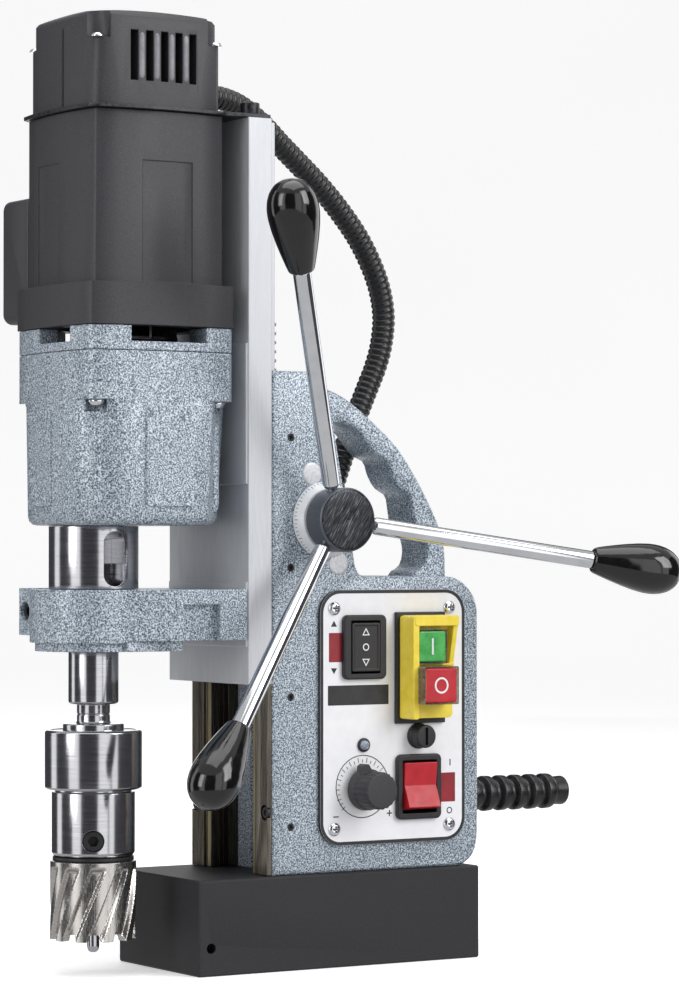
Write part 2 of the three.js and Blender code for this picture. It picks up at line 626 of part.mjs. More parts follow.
function addRack() {
  const pitch = Math.PI * FEED_PINION.module;
  const pitchLine = FEED_AXIS.y - FEED_PINION.teeth * FEED_PINION.module / 2;
  const tip = pitchLine + ADDENDUM * FEED_PINION.module;
  const root = pitchLine - DEDENDUM * FEED_PINION.module;
  const slope = Math.tan(PRESSURE);
  const halfAtPitch = pitch / 4 - BACKLASH / 2;
  const tipHalf = halfAtPitch - (tip - pitchLine) * slope;
  const rootHalf = halfAtPitch + (pitchLine - root) * slope;
  const points = [];
  const below = 15.5;
  const above = 21.5;
  for (let tooth = -below; tooth <= above; tooth += 1) {
    const middle = FEED_AXIS.z + tooth * pitch;
    points.push([root, middle - rootHalf], [tip, middle - tipHalf]);
    points.push([tip, middle + tipHalf], [root, middle + rootHalf]);
  }
  const ends = [FEED_AXIS.z - below * pitch - pitch / 2, FEED_AXIS.z + above * pitch + pitch / 2];
  const back = TONGUE.back;
  const outline = [[back, ends[0]], [root, ends[0]], ...points, [root, ends[1]], [back, ends[1]]];
  place(carriage, 'rack', alongX(prism(polygon(outline), [-RACK_HALF, RACK_HALF])), machinedSteel);
}

// ---- lower bracket with a split clamp round the spindle bearing ----
const BRACKET = { bottom: 162.2, top: 193, arm: 167.5, radius: 32, lip: 29.3, flare: -93 };
const EAR = { left: -41.8, right: -23, front: -142, bottom: 169.5, above: 0.4 };
const CLAMP_SCREW = { x: -35.4, seat: -135, z: 181.5 };
const BRACKET_POCKET = { floor: 36.5, y: [-92, -71.4], below: 7.5 };

function addBracket() {
  const { bottom, top, arm, radius, lip, flare } = BRACKET;
  const nose = disc(radius, [arm - 1, top], 40).translate(0, DRILL_Y, 0);
  const step = disc(lip, [bottom, arm], 40).translate(0, DRILL_Y, 0);
  const cheeks = box([-radius, radius], [DRILL_Y + 2, -88], [bottom, top]);
  const half = SLIDE.half;
  const arms = prism(polygon([
    [-half, DRILL_Y + 2], [radius, DRILL_Y + 2], [half, flare],
    [half, SLIDE.padFront], [-half, SLIDE.padFront],
  ]), [arm, top]);
  const ear = box([EAR.left, EAR.right], [EAR.front, -88.5], [EAR.bottom, top + EAR.above]);
  const slit = box([EAR.left - 1, -15], [DRILL_Y - 1, DRILL_Y + 1], [bottom - 1, top + 1]);
  const bore = disc(20.2, [165, top + 1], 24).translate(0, DRILL_Y, 0);
  const mouth = disc(17, [bottom - 1, 166], 24).translate(0, DRILL_Y, 0);
  const atScrew = (geometry) => alongY(geometry).translate(CLAMP_SCREW.x, CLAMP_SCREW.seat, CLAMP_SCREW.z);
  const screwHole = atScrew(disc(3.3, [-1, 30], 16));
  const headSeat = atScrew(disc(5.2, [-8, 0], 20));
  const pockets = [-1, 1].map((sign) => box(
    [sign * BRACKET_POCKET.floor, sign * (half + 1)].sort((a, b) => a - b),
    BRACKET_POCKET.y, [arm - 1, top - BRACKET_POCKET.below],
  ));
  const block = join(nose, step, cheeks, arms, ear);
  place(carriage, 'bracket', cut(block, slit, bore, mouth, screwHole, headSeat, ...pockets), hammertone);

  const screw = turned([[0, -5], [4.5, -5], [4.9, -4.6], [4.9, -0.1], [3, -0.1], [3, 29], [0, 29]], 20);
  const socket = disc(2.4, [-6, -2.6], 6);
  const clamp = place(carriage, 'clamp_screw', alongY(cut(screw, socket)), blackSteel);
  clamp.position.set(CLAMP_SCREW.x, CLAMP_SCREW.seat, CLAMP_SCREW.z);

  const bearing = ring(20, 15.3, [165.3, 191.5], 24);
  place(carriage, 'spindle_bearing', bearing, machinedSteel).position.set(0, DRILL_Y, 0);
}

// ---- gearbox ----
const BULGE = 3.2;
const GEARBOX = { bottom: 225, shoulder: 287, seam: 311.2, cover: 311.5, plate: 316, top: 323.7, half: 40.4 };
const CASING = { half: 42, bulge: 1.6, chamfer: 15, round: 4.5, screwAt: 34 };
const FACE_PANEL = { proud: 0.9, z: [234.4, 284], right: [-11.2, 17.4], front: [-21, 3.6] };

// The casing narrows downwards: a little at the sides, more at the back.
function drafted(geometry) {
  const position = geometry.getAttribute('position');
  const drop = GEARBOX.shoulder - GEARBOX.bottom;
  for (let i = 0; i < position.count; i += 1) {
    const share = Math.max(0, GEARBOX.shoulder - position.getZ(i)) / drop;
    const back = position.getY(i) > 0;
    position.setX(i, position.getX(i) * (1 - 0.02 * share));
    position.setY(i, position.getY(i) * (1 - (back ? 0.09 : 0.02) * share));
  }
  return geometry;
}

function addGearbox() {
  const motor = groupAt(carriage, 0, MOTOR_Y, 0);
  const upper = prism(bulgedSquare(GEARBOX.half, BULGE, 2.5), [GEARBOX.shoulder, GEARBOX.seam], 6);
  const { half, bulge, chamfer, round } = CASING;
  const lower = drafted(softPrism(
    bulgedSquare(half, bulge, chamfer), [GEARBOX.bottom, GEARBOX.shoulder + 4], round, 6, 3,
  ));
  const proud = drafted(prism(bulgedSquare(half + FACE_PANEL.proud, bulge, 2), [228, GEARBOX.shoulder], 6));
  const panelOn = (span, turns) => {
    const patch = alongX(prism(roundedRectangle(span, FACE_PANEL.z, 3), [30, 50], 3));
    return common(proud, patch.rotateZ(turns * Math.PI / 2));
  };
  const panels = [
    panelOn(FACE_PANEL.right, 0), panelOn(FACE_PANEL.front, -1),
    panelOn(FACE_PANEL.right, 2), panelOn(FACE_PANEL.front, 1),
  ];
  const corners = [[1, 1], [1, -1], [-1, 1], [-1, -1]];
  const screwPockets = corners.map(([x, y]) => (
    disc(5.5, [GEARBOX.shoulder - 6, GEARBOX.shoulder], 16)
      .translate(x * CASING.screwAt, y * CASING.screwAt, 0)
  ));
  const foot = box([-11, 11], [34, SLIDE.padFront - MOTOR_Y], [262, GEARBOX.seam]);
  const hollow = prism(bulgedSquare(35.6, 0.2, 12), [230, GEARBOX.seam + 1], 3);
  const spindleHole = disc(16, [GEARBOX.bottom - 1, 231], 32).translate(0, DRILL_Y - MOTOR_Y, 0);
  const body = cut(join(upper, lower, ...panels), ...screwPockets);
  place(motor, 'gearbox_casing', cut(join(body, foot), hollow, spindleHole), hammertone);

  const plate = prism(bulgedSquare(GEARBOX.half, BULGE, 2.5), [GEARBOX.cover, GEARBOX.top], 6);
  const open = [GEARBOX.plate, GEARBOX.top + 1];
  const vents = [
    box([-10, 21.5], [-50, 0], open), box([-21.5, 10], [0, 50], open), box([-50, 50], [-19, 23.6], open),
    disc(34, open, 32), disc(8, [GEARBOX.cover - 1, GEARBOX.plate + 1], 24),
  ];
  place(motor, 'gearbox_cover', cut(plate, ...vents), hammertone);
}

// ---- motor ----
const MOTOR = { bottom: 324, ringTop: 345, top: 430.7, plate: 431, plateTop: 433, half: 36.4 };
const FLANGE = { half: 39.4, chamfer: 4 };
const CAP = { half: 35.6, top: 482.5, shoulder: 12, domeEdge: 477.5, domeRadius: 56 };
const CAP_VENT = { count: 5, first: -17.2, pitch: 8.3, width: 4.2, z: [445.5, 470.5] };
const RECESS = { depth: 0.5, z: [346, 406] };
const SIDE_BOX = { left: -70, y: [-35, 26], z: [329, 393], corner: 5 };

function addMotorHousing(motor) {
  const skirt = prism(bulgedSquare(GEARBOX.half + 0.4, BULGE, 1.5), [MOTOR.bottom, MOTOR.ringTop], 6);
  const barrel = prism(bulgedSquare(MOTOR.half, BULGE, 1.2), [MOTOR.ringTop - 1, MOTOR.top], 6);
  const bore = disc(33, [MOTOR.bottom - 1, MOTOR.top + 1], 24);
  const core = prism(bulgedSquare(MOTOR.half - RECESS.depth, BULGE, 1.2), [MOTOR.ringTop - 1, MOTOR.top], 6);
  const [right, front] = [FACE_PANEL.right, FACE_PANEL.front];
  const recesses = [
    box([30, 46], right, RECESS.z), box(front, [-46, -30], RECESS.z),
    box([-46, -30], right.map((y) => -y).reverse(), RECESS.z),
    box(front.map((x) => -x).reverse(), [30, 46], RECESS.z),
  ].map((region) => cut(region, core));
  place(motor, 'motor_housing', cut(join(skirt, barrel), bore, ...recesses), blackPlastic);
}

function addMotorCap(motor) {
  const { half, top, shoulder } = CAP;
  const block = prism(bulgedSquare(half, BULGE, 3), [MOTOR.plateTop, top], 6);
  const reach = half + BULGE;
  const archShape = roundedRectangle([-reach, reach], [380, top], shoulder);
  const archX = alongX(prism(archShape, [-60, 60], 5));
  const archY = alongX(prism(archShape, [-60, 60], 5)).rotateZ(Math.PI / 2);
  const dome = turned([
    [0, 400], [CAP.domeRadius, 400], [CAP.domeRadius, CAP.domeEdge], [42, top - 2.6], [28, top - 1.1],
    [14, top - 0.3], [0, top],
  ], 32);
  const shape = common(common(common(block, archX), archY), dome);
  const inside = disc(31, [MOTOR.plateTop - 1, 474], 32);
  const cornerPockets = [[1, 1], [1, -1], [-1, 1], [-1, -1]].map(([x, y]) => (
    disc(8, [466, top + 1], 16).translate(x * 35.5, y * 35.5, 0)
  ));
  const slots = [];
  for (let slot = 0; slot < CAP_VENT.count; slot += 1) {
    const y = CAP_VENT.first + slot * CAP_VENT.pitch;
    for (const x of [[28, 42], [-42, -28]]) {
      slots.push(box(x, [y, y + CAP_VENT.width], CAP_VENT.z));
    }
  }
  const wireHole = alongY(disc(4, [28, 42], 12)).translate(CONDUIT_ROUTE[0][0], 0, CONDUIT_ROUTE[0][2]);
  place(motor, 'motor_cap', cut(shape, inside, ...cornerPockets, ...slots, wireHole), blackPlastic);
}

function addMotor() {
  const motor = groupAt(carriage, 0, MOTOR_Y, 0);
  addMotorHousing(motor);
  addMotorCap(motor);

  const sheet = prism(bulgedSquare(FLANGE.half, BULGE, FLANGE.chamfer), [MOTOR.plate, MOTOR.plateTop], 6);
  const tailEnd = -41.5 - MOTOR_Y;
  const tailOutline = polygon([[-34, 20], [34, 20], [40, 46], [40, tailEnd], [-40, tailEnd], [-40, 46]]);
  const tail = prism(tailOutline, [MOTOR.plate, MOTOR.plateTop]);
  const air = disc(31, [MOTOR.plate - 1, MOTOR.plateTop + 1], 32);
  place(motor, 'top_plate', cut(join(sheet, tail), air), blackSteel);

  const sideOutline = roundedRectangle(SIDE_BOX.y, SIDE_BOX.z, SIDE_BOX.corner);
  const motorFace = -MOTOR.half - BULGE - 0.4;
  const boxBody = alongX(softPrism(sideOutline, [SIDE_BOX.left, motorFace], 3, 3, 2));
  const skirtFace = -GEARBOX.half - BULGE - 0.8;
  const skirtClearance = box([skirtFace, -30], [-60, 60], [320, MOTOR.ringTop + GAP]);
  place(motor, 'side_box', cut(boxBody, skirtClearance), blackPlastic);

  const windings = ring(32.6, 21, [350, 404]);
  place(motor, 'stator', windings, copper);
}

function addArmature() {
  const motor = groupAt(press, 0, MOTOR_Y, 0);
  const body = turned([
    [0, 309], [4, 309], [4, 318], [27, 318], [27, 319.5], [5, 320.5], [5, 352], [19.4, 354], [19.4, 400],
    [5, 402], [5, 412], [13, 412], [13, 430], [5, 430], [4, 436], [4, 468], [0, 468],
  ]);
  const bladeCount = 8;
  const blades = Array.from({ length: bladeCount }, (_, blade) => (
    box([9, 27], [-0.7, 0.7], [319, 326]).rotateZ(blade * 2 * Math.PI / bladeCount)
  ));
  const teeth = prism(gearShape(MOTOR_GEAR, idlerDirection()), [287, 310]);
  place(motor, 'armature', join(body, teeth, ...blades), machinedSteel);
}

// The intermediate shaft stands where both gear pairs are at their pitch distances.
function idlerPlace() {
  const toMotor = (MOTOR_GEAR.teeth * MOTOR_GEAR.module + WHEEL_GEAR.teeth * WHEEL_GEAR.module) / 2;
  const toDrill = (STEP_GEAR.teeth * STEP_GEAR.module + SPINDLE_GEAR.teeth * SPINDLE_GEAR.module) / 2;
  const offset = MOTOR_Y - DRILL_Y;
  const along = (toDrill ** 2 - toMotor ** 2 - offset ** 2) / (2 * offset);
  return { x: Math.sqrt(toMotor ** 2 - along ** 2), y: along };
}

function idlerDirection() {
  const { x, y } = idlerPlace();
  return Math.atan2(y, x);
}

function addIntermediateGear() {
  const { x, y } = idlerPlace();
  const shaftGroup = groupAt(press, x, MOTOR_Y + y, 0);
  const gapTowards = (gear, direction) => direction + Math.PI / gear.teeth;
  const fromIdlerToMotor = idlerDirection() + Math.PI;
  const shaft = disc(4, [233, 308], 20);
  const wheel = prism(gearShape(WHEEL_GEAR, gapTowards(WHEEL_GEAR, fromIdlerToMotor)), [290, 300]);
  const fromIdlerToDrill = Math.atan2(DRILL_Y - MOTOR_Y - y, -x);
  const step = prism(gearShape(STEP_GEAR, fromIdlerToDrill), [262, 291]);
  place(shaftGroup, 'intermediate_gear', join(shaft, wheel, step), machinedSteel);
}

// ---- spindle and tooling, all on the drill axis ----
const CUTTER = { top: 57.6, bottom: 18, radius: 21.6, inner: 17, shank: 9.5, shankTop: 105 };
const PILOT = { radius: 3.1, bottom: 11, top: 112 };
const SPRING = { top: 156.6, radius: 3.5, wire: 0.5, turns: 6 };
const SET_SCREW = { angle: -27.8 * Math.PI / 180, z: 68 };

function addSpindle() {
  const drill = groupAt(press, 0, DRILL_Y, 0);
  const { x, y } = idlerPlace();
  const toIdler = Math.atan2(MOTOR_Y + y - DRILL_Y, x);
  const body = turned([
    [12.3, 162.6], [15, 162.6], [15, 193.3], [22.6, 193.3], [22.6, 224.7], [15, 224.7], [15, 244],
    [12.5, 244], [12.5, 280], [0, 280], [0, 226], [9.6, 226], [12.3, 162.6],
  ], 24);
  const gear = prism(gearShape(SPINDLE_GEAR, toIdler + Math.PI / SPINDLE_GEAR.teeth), [264, 276]);
  const driftSlot = alongX(prism(roundedRectangle([-5.75, 5.75], [194.6, 222], 5.7), [-24, 24], 4));
  place(drill, 'spindle', cut(join(body, gear), driftSlot), machinedSteel);

  const taperTop = 206;
  const arborBody = turned([
    [9.8, 59.4], [19.6, 59.4], [20.9, 61], [20.9, 91.6], [19.2, 91.8], [19.2, 93], [23.4, 93], [24.4, 94],
    [24.4, 121.6], [23.4, 122.6], [15.3, 122.7], [15.3, 125.6], [8.6, 125.8], [8.3, 127], [8.3, 135.4],
    [11.8, 135.6], [12.6, 136.6], [12.6, 162.2], [11.8, 162.4], [9.9, taperTop], [0, taperTop],
    [0, 157], [4.4, 157], [4.4, 107], [9.8, 106], [9.8, 59.4],
  ], 24);
  const tang = box([-9.2, 9.2], [-3.6, 3.6], [taperTop - 1, taperTop + 8]);
  const tangRound = disc(9.2, [taperTop - 2, taperTop + 9], 24);
  const screwHole = alongX(disc(5.5, [8, 24], 20)).translate(0, 0, SET_SCREW.z).rotateZ(SET_SCREW.angle);
  place(drill, 'arbor', cut(join(arborBody, common(tang, tangRound)), screwHole), machinedSteel);

  const grub = cut(alongX(disc(5.2, [9.9, 20], 20)), alongX(disc(2.7, [16.5, 21], 6)));
  const screw = place(drill, 'set_screw', grub, blackSteel);
  screw.position.set(0, 0, SET_SCREW.z);
  screw.rotation.z = SET_SCREW.angle;
}

function addCutter() {
  const drill = groupAt(press, 0, DRILL_Y, 0);
  const { top, bottom, radius, inner, shank, shankTop } = CUTTER;
  const blank = turned([
    [3.5, 50], [inner, 50], [inner, bottom], [radius, bottom], [radius, top - 2], [radius - 2, top],
    [shank, top], [shank, shankTop - 1], [shank - 1, shankTop], [3.5, shankTop], [3.5, 50],
  ], 24);
  const teeth = 8;
  const gullets = Array.from({ length: teeth }, (_, tooth) => (
    box([inner - 3, radius + 2], [-2.2, 2.2], [bottom - 1, bottom + 3.5]).rotateZ(tooth * 2 * Math.PI / teeth)
  ));
  place(drill, 'cutter', cut(blank, ...gullets), machinedSteel);

  const pin = turned([
    [0, PILOT.bottom], [2.2, PILOT.bottom + 0.6], [PILOT.radius, PILOT.bottom + 2.4],
    [PILOT.radius, shankTop + GAP], [4.1, shankTop + GAP], [4.1, PILOT.top], [0, PILOT.top],
  ], 12);
  place(drill, 'pilot_pin', pin, machinedSteel);

  const coil = [];
  const length = SPRING.top - PILOT.top - 2 * GAP - 2 * SPRING.wire;
  const steps = SPRING.turns * 8;
  for (let step = 0; step <= steps; step += 1) {
    const angle = step * 2 * Math.PI / 8;
    const height = PILOT.top + GAP + SPRING.wire + length * step / steps;
    coil.push(new THREE.Vector3(SPRING.radius * Math.cos(angle), SPRING.radius * Math.sin(angle), height));
  }
  const wire = polygon(Array.from({ length: 6 }, (_, side) => (
    [SPRING.wire * Math.cos(side * Math.PI / 3), SPRING.wire * Math.sin(side * Math.PI / 3)]
  )));
  const spring = new THREE.ExtrudeGeometry(wire, {
    steps, bevelEnabled: false, extrudePath: new THREE.CatmullRomCurve3(coil),
  });
  place(drill, 'pilot_spring', spring, machinedSteel);
}

addMagnet();
addHousing();
addGuides();
addPinionBushes();
addPanelPlate();
addPanelScrews();
addRockers();
addSafetySwitch();
addSmallControls();
addElectronics();
addCableBoot();
addConduit();
addFeedDrive();
addSlide();
addRack();
addBracket();
addGearbox();
addMotor();
addArmature();
addIntermediateGear();
addSpindle();
addCutter();

export default press;
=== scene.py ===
import json
import math

import bmesh
import bpy
from mathutils import Matrix, Vector

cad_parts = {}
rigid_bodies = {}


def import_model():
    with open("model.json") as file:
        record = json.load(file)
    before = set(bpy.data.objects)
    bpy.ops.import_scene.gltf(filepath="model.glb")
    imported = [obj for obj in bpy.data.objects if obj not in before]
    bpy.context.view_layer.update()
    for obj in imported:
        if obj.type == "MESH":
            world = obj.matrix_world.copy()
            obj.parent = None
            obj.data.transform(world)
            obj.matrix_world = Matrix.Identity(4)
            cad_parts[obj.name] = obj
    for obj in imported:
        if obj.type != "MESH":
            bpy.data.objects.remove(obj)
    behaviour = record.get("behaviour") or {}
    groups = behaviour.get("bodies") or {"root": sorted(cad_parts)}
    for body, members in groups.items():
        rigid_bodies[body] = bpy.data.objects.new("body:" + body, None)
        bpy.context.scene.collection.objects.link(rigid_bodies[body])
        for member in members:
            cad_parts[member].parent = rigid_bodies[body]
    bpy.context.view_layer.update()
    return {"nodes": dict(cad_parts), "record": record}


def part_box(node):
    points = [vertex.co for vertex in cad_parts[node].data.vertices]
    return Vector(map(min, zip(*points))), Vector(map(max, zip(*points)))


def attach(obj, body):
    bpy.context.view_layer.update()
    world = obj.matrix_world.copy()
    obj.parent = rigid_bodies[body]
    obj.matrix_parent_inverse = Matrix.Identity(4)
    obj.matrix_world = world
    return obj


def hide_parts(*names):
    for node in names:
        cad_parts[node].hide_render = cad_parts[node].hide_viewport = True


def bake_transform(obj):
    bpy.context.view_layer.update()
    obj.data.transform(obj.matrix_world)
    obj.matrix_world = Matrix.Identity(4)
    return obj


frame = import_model()

# ---- the frame, in millimetres ----
MM = 0.001
NODES = frame["nodes"]
BEHAVIOUR = frame["record"]["behaviour"]
BODY_OF = {node: body for body, nodes in BEHAVIOUR["bodies"].items() for node in nodes}


def low(node):
    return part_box(node)[0] / MM


def high(node):
    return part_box(node)[1] / MM


def middle(node):
    return (low(node) + high(node)) / 2


DRILL = middle("arbor")
MOTOR = middle("gearbox_cover")
FEED = middle("pinion_shaft")
PANEL_FACE = high("control_panel").x
SEAM = high("gearbox_casing").z
LEVER_ROOT = Vector((49.5, FEED.y, FEED.z))
LEVER_TILT = math.radians(18.4)
LEVER_ANGLES = [math.radians(angle) for angle in (111, 231, 351)]
CUTTER_TOP = 57.6
DIAL = (12.6, 90.3)
DIAL_TURN = math.radians(105)
GIB_SCREWS = {"y": -29, "heights": (269.8, 203.8, 138.1, 72.3)}
RAIL_SCREWS = {"x": 35.6, "y": -40.65, "heights": (80, 180, 280)}
CLAMP_SCREW = (-35.4, -135, 181.5)
HOUSING_PLUGS = ((-16.5, 251.4), (-0.7, 206.0))
SHOULDER = 286.95
CORNER = {"rib": 46.2, "screw": 48.1, "cap_screw": 47.2, "cap_floor": 466}
CAP = {"half": 35.6, "bulge": 3.2, "flat": 32.6, "first_bar": -10.95, "bar_pitch": 8.3}

# The conduit's route, given as in the CAD source.
CONDUIT_ROUTE = [
    (-12, -55.6, 447), (-12.6, -47, 447.6), (-14.5, -36, 446.6), (-17, -24.7, 443.2),
    (-19, -11.4, 435.2),
    (-20.5, 0, 426.2), (-21.5, 12, 416.8), (-22, 24.3, 406.6), (-22.5, 36.8, 394.6), (-23, 49, 380.6),
    (-23.2, 58, 366.2), (-23.4, 64, 352), (-23.5, 66.5, 337.5), (-23.5, 65, 323), (-23.5, 61.4, 311),
    (-23.5, 56.5, 300), (-23.5, 50.6, 287), (-23.5, 45, 274), (-23.5, 39.6, 260), (-23.5, 34.4, 246),
    (-23.5, 29.6, 231), (-23.5, 27, 219), (-23.5, 26.5, 213.4),
]
CONDUIT_RADIUS = 6.2


# ---- camera ----
def add_camera():
    azimuth, elevation = math.radians(58.2), math.radians(-0.912)
    back = Vector((
        math.sin(azimuth) * math.cos(elevation),
        -math.cos(azimuth) * math.cos(elevation),
        math.sin(elevation),
    ))
    camera = bpy.data.objects.new("camera", bpy.data.cameras.new("camera"))
    camera.location = (1.566, -0.9468, 0.2143)
    camera.rotation_mode = "QUATERNION"
    camera.rotation_quaternion = (-back).to_track_quat("-Z", "Y")
    camera.data.lens = 128.75
    camera.data.sensor_width = 36
    bpy.context.scene.collection.objects.link(camera)
    bpy.context.scene.camera = camera


# ---- materials ----
def linear(*levels):
    """Linear colour from 0-255 screen levels."""
    values = [level / 255 for level in levels]
    return [v / 12.92 if v <= 0.04045 else ((v + 0.055) / 1.055) ** 2.4 for v in values] + [1.0]


class Finish:
    """A node material whose textures are laid out in the piece's own metres."""

    def __init__(self, name, slot, roughness=0.5, metallic=0.0, rounding=0.35, **sockets):
        self.material = bpy.data.materials.new(name)
        self.material.use_nodes = True
        self.material["slot"] = slot
        self.tree = self.material.node_tree
        self.shader = self.tree.nodes["Principled BSDF"]
        self.shader.inputs["Roughness"].default_value = roughness
        self.shader.inputs["Metallic"].default_value = metallic
        for socket, value in sockets.items():
            self.shader.inputs[socket.replace("_", " ")].default_value = value
        self.place = self.node("TexCoord").outputs["Object"]
        edge = self.node("Bevel")
        edge.samples = 4
        edge.inputs["Radius"].default_value = rounding * MM
        self.normal = edge.outputs["Normal"]
        self.link(self.normal, self.shader.inputs["Normal"])

    def node(self, kind):
        return self.tree.nodes.new("ShaderNode" + kind)

    def link(self, output, socket):
        self.tree.links.new(output, socket)

    def noise(self, size, detail=2.0, stretch=(1, 1, 1), distortion=0.0, turn=0.0):
        """Noise with features about size millimetres across, drawn out by stretch and turned round X."""
        mapping = self.node("Mapping")
        mapping.vector_type = "TEXTURE"
        mapping.inputs["Scale"].default_value = stretch
        mapping.inputs["Rotation"].default_value = (turn, 0, 0)
        self.link(self.place, mapping.inputs["Vector"])
        noise = self.node("TexNoise")
        noise.inputs["Scale"].default_value = 1 / (size * MM)
        noise.inputs["Detail"].default_value = detail
        noise.inputs["Distortion"].default_value = distortion
        self.link(mapping.outputs["Vector"], noise.inputs["Vector"])
        return noise.outputs["Fac"]

    def ramp(self, value, stops):
        ramp = self.node("ValToRGB")
        elements = ramp.color_ramp.elements
        while len(elements) < len(stops):
            elements.new(0.5)
        for element, (position, color) in zip(elements, stops):
            element.position = position
            element.color = color
        self.link(value, ramp.inputs["Fac"])
        return ramp.outputs["Color"]

    def color(self, value, stops):
        self.link(self.ramp(value, stops), self.shader.inputs["Base Color"])
        return self

    def rough(self, value, least, most):
        spread = self.node("MapRange")
        spread.inputs["From Min"].default_value = 0.3
        spread.inputs["From Max"].default_value = 0.7
        spread.inputs["To Min"].default_value = least
        spread.inputs["To Max"].default_value = most
        self.link(value, spread.inputs["Value"])
        self.link(spread.outputs["Result"], self.shader.inputs["Roughness"])
        return self

    def bump(self, value, depth, strength=1.0):
        """Relief of depth millimetres on top of what is there already."""
        bump = self.node("Bump")
        bump.inputs["Strength"].default_value = strength
        bump.inputs["Distance"].default_value = depth * MM
        self.link(value, bump.inputs["Height"])
        self.link(self.normal, bump.inputs["Normal"])
        self.normal = bump.outputs["Normal"]
        self.link(self.normal, self.shader.inputs["Normal"])
        return self


def hammertone():
    coat = {"Coat_Weight": 0.25, "Coat_Roughness": 0.3}
    finish = Finish("hammertone", "hammertone_casting", 0.45, 0.2, 0.9, **coat)
    worms = finish.noise(0.72, 1.0, distortion=0.5)
    finish.color(worms, [
        (0.36, linear(212, 220, 228)), (0.46, linear(168, 180, 192)), (0.525, linear(128, 141, 154)),
        (0.62, linear(70, 83, 97)),
    ])
    return finish.bump(worms, 0.12, 0.45).rough(finish.noise(2.4), 0.36, 0.54).material


def grained_plastic(name, slot, dark, light, roughness=0.55):
    finish = Finish(name, slot, roughness, 0.0, 0.6)
    grain = finish.noise(0.32, 1.0)
    finish.color(grain, [(0.35, linear(*dark)), (0.68, linear(*light))])
    finish.bump(grain, 0.03, 0.4)
    return finish.rough(finish.noise(0.8), roughness - 0.04, roughness + 0.04).material


def moulded(name, slot, dark, light, roughness=0.3, **sockets):
    finish = Finish(name, slot, roughness, 0.0, 0.4, **sockets)
    finish.color(finish.noise(6.0, 3.0), [(0.3, linear(*dark)), (0.7, linear(*light))])
    finish.bump(finish.noise(0.5, 2.0), 0.01, 0.4)
    return finish.rough(finish.noise(4.0, 4.0), roughness - 0.06, roughness + 0.1).material


def turned_steel(name, slot, dark, light, roughness, rounding=0.3):
    """Steel turned on a lathe: fine rings round Z."""
    finish = Finish(name, slot, roughness, 1.0, rounding)
    rings = finish.noise(0.5, 3.0, (40, 40, 0.6))
    finish.color(rings, [(0.3, linear(*dark)), (0.7, linear(*light))])
    return finish.bump(rings, 0.003, 0.4).rough(rings, roughness - 0.04, roughness + 0.05).material


def brushed(name, slot, dark, light, roughness, grain=(1, 1, 30), metallic=1.0, depth=0.012):
    """Metal with fine scratches, depth millimetres deep, drawn out along grain."""
    finish = Finish(name, slot, roughness, metallic, 0.3)
    lines = finish.noise(0.35, 4.0, grain)
    finish.color(lines, [(0.32, linear(*dark)), (0.68, linear(*light))])
    spread = min(0.08, 0.6 * roughness)
    return finish.bump(lines, depth, 0.4).rough(lines, roughness - spread, roughness + spread).material


def ribbed_rubber():
    finish = Finish("rubber", "rubber", 0.3, 0.0, 0.3)
    finish.color(finish.noise(3.0, 4.0), [(0.3, linear(12, 12, 14)), (0.7, linear(28, 28, 31))])
    return finish.bump(finish.noise(0.4, 2.0), 0.01, 0.3).rough(finish.noise(2.0), 0.24, 0.38).material


def clear_lens():
    finish = Finish("lens", "lens", 0.12, 0.0, 0.3, Coat_Weight=0.6)
    finish.color(finish.noise(1.5, 2.0), [(0.3, linear(112, 122, 138)), (0.7, linear(158, 168, 184))])
    return finish.bump(finish.noise(0.8), 0.01, 0.3).material


def clear_plastic():
    finish = Finish("clear_frame", "lens", 0.08, 0.0, 0.15, Transmission_Weight=0.8)
    finish.color(finish.noise(2.0, 2.0), [(0.3, linear(150, 146, 130)), (0.7, linear(206, 204, 192))])
    return finish.bump(finish.noise(0.9), 0.01, 0.2).material


def scratched_hub():
    finish = Finish("hub_face", "black_steel", 0.34, 0.75, 0.5)
    lines = finish.noise(0.42, 4.0, (1, 1, 14), 0.3, math.radians(-30))
    finish.color(lines, [
        (0.36, linear(26, 27, 30)), (0.56, linear(52, 54, 58)), (0.7, linear(112, 115, 120)),
    ])
    return finish.bump(lines, 0.015, 0.4).rough(lines, 0.26, 0.44).material


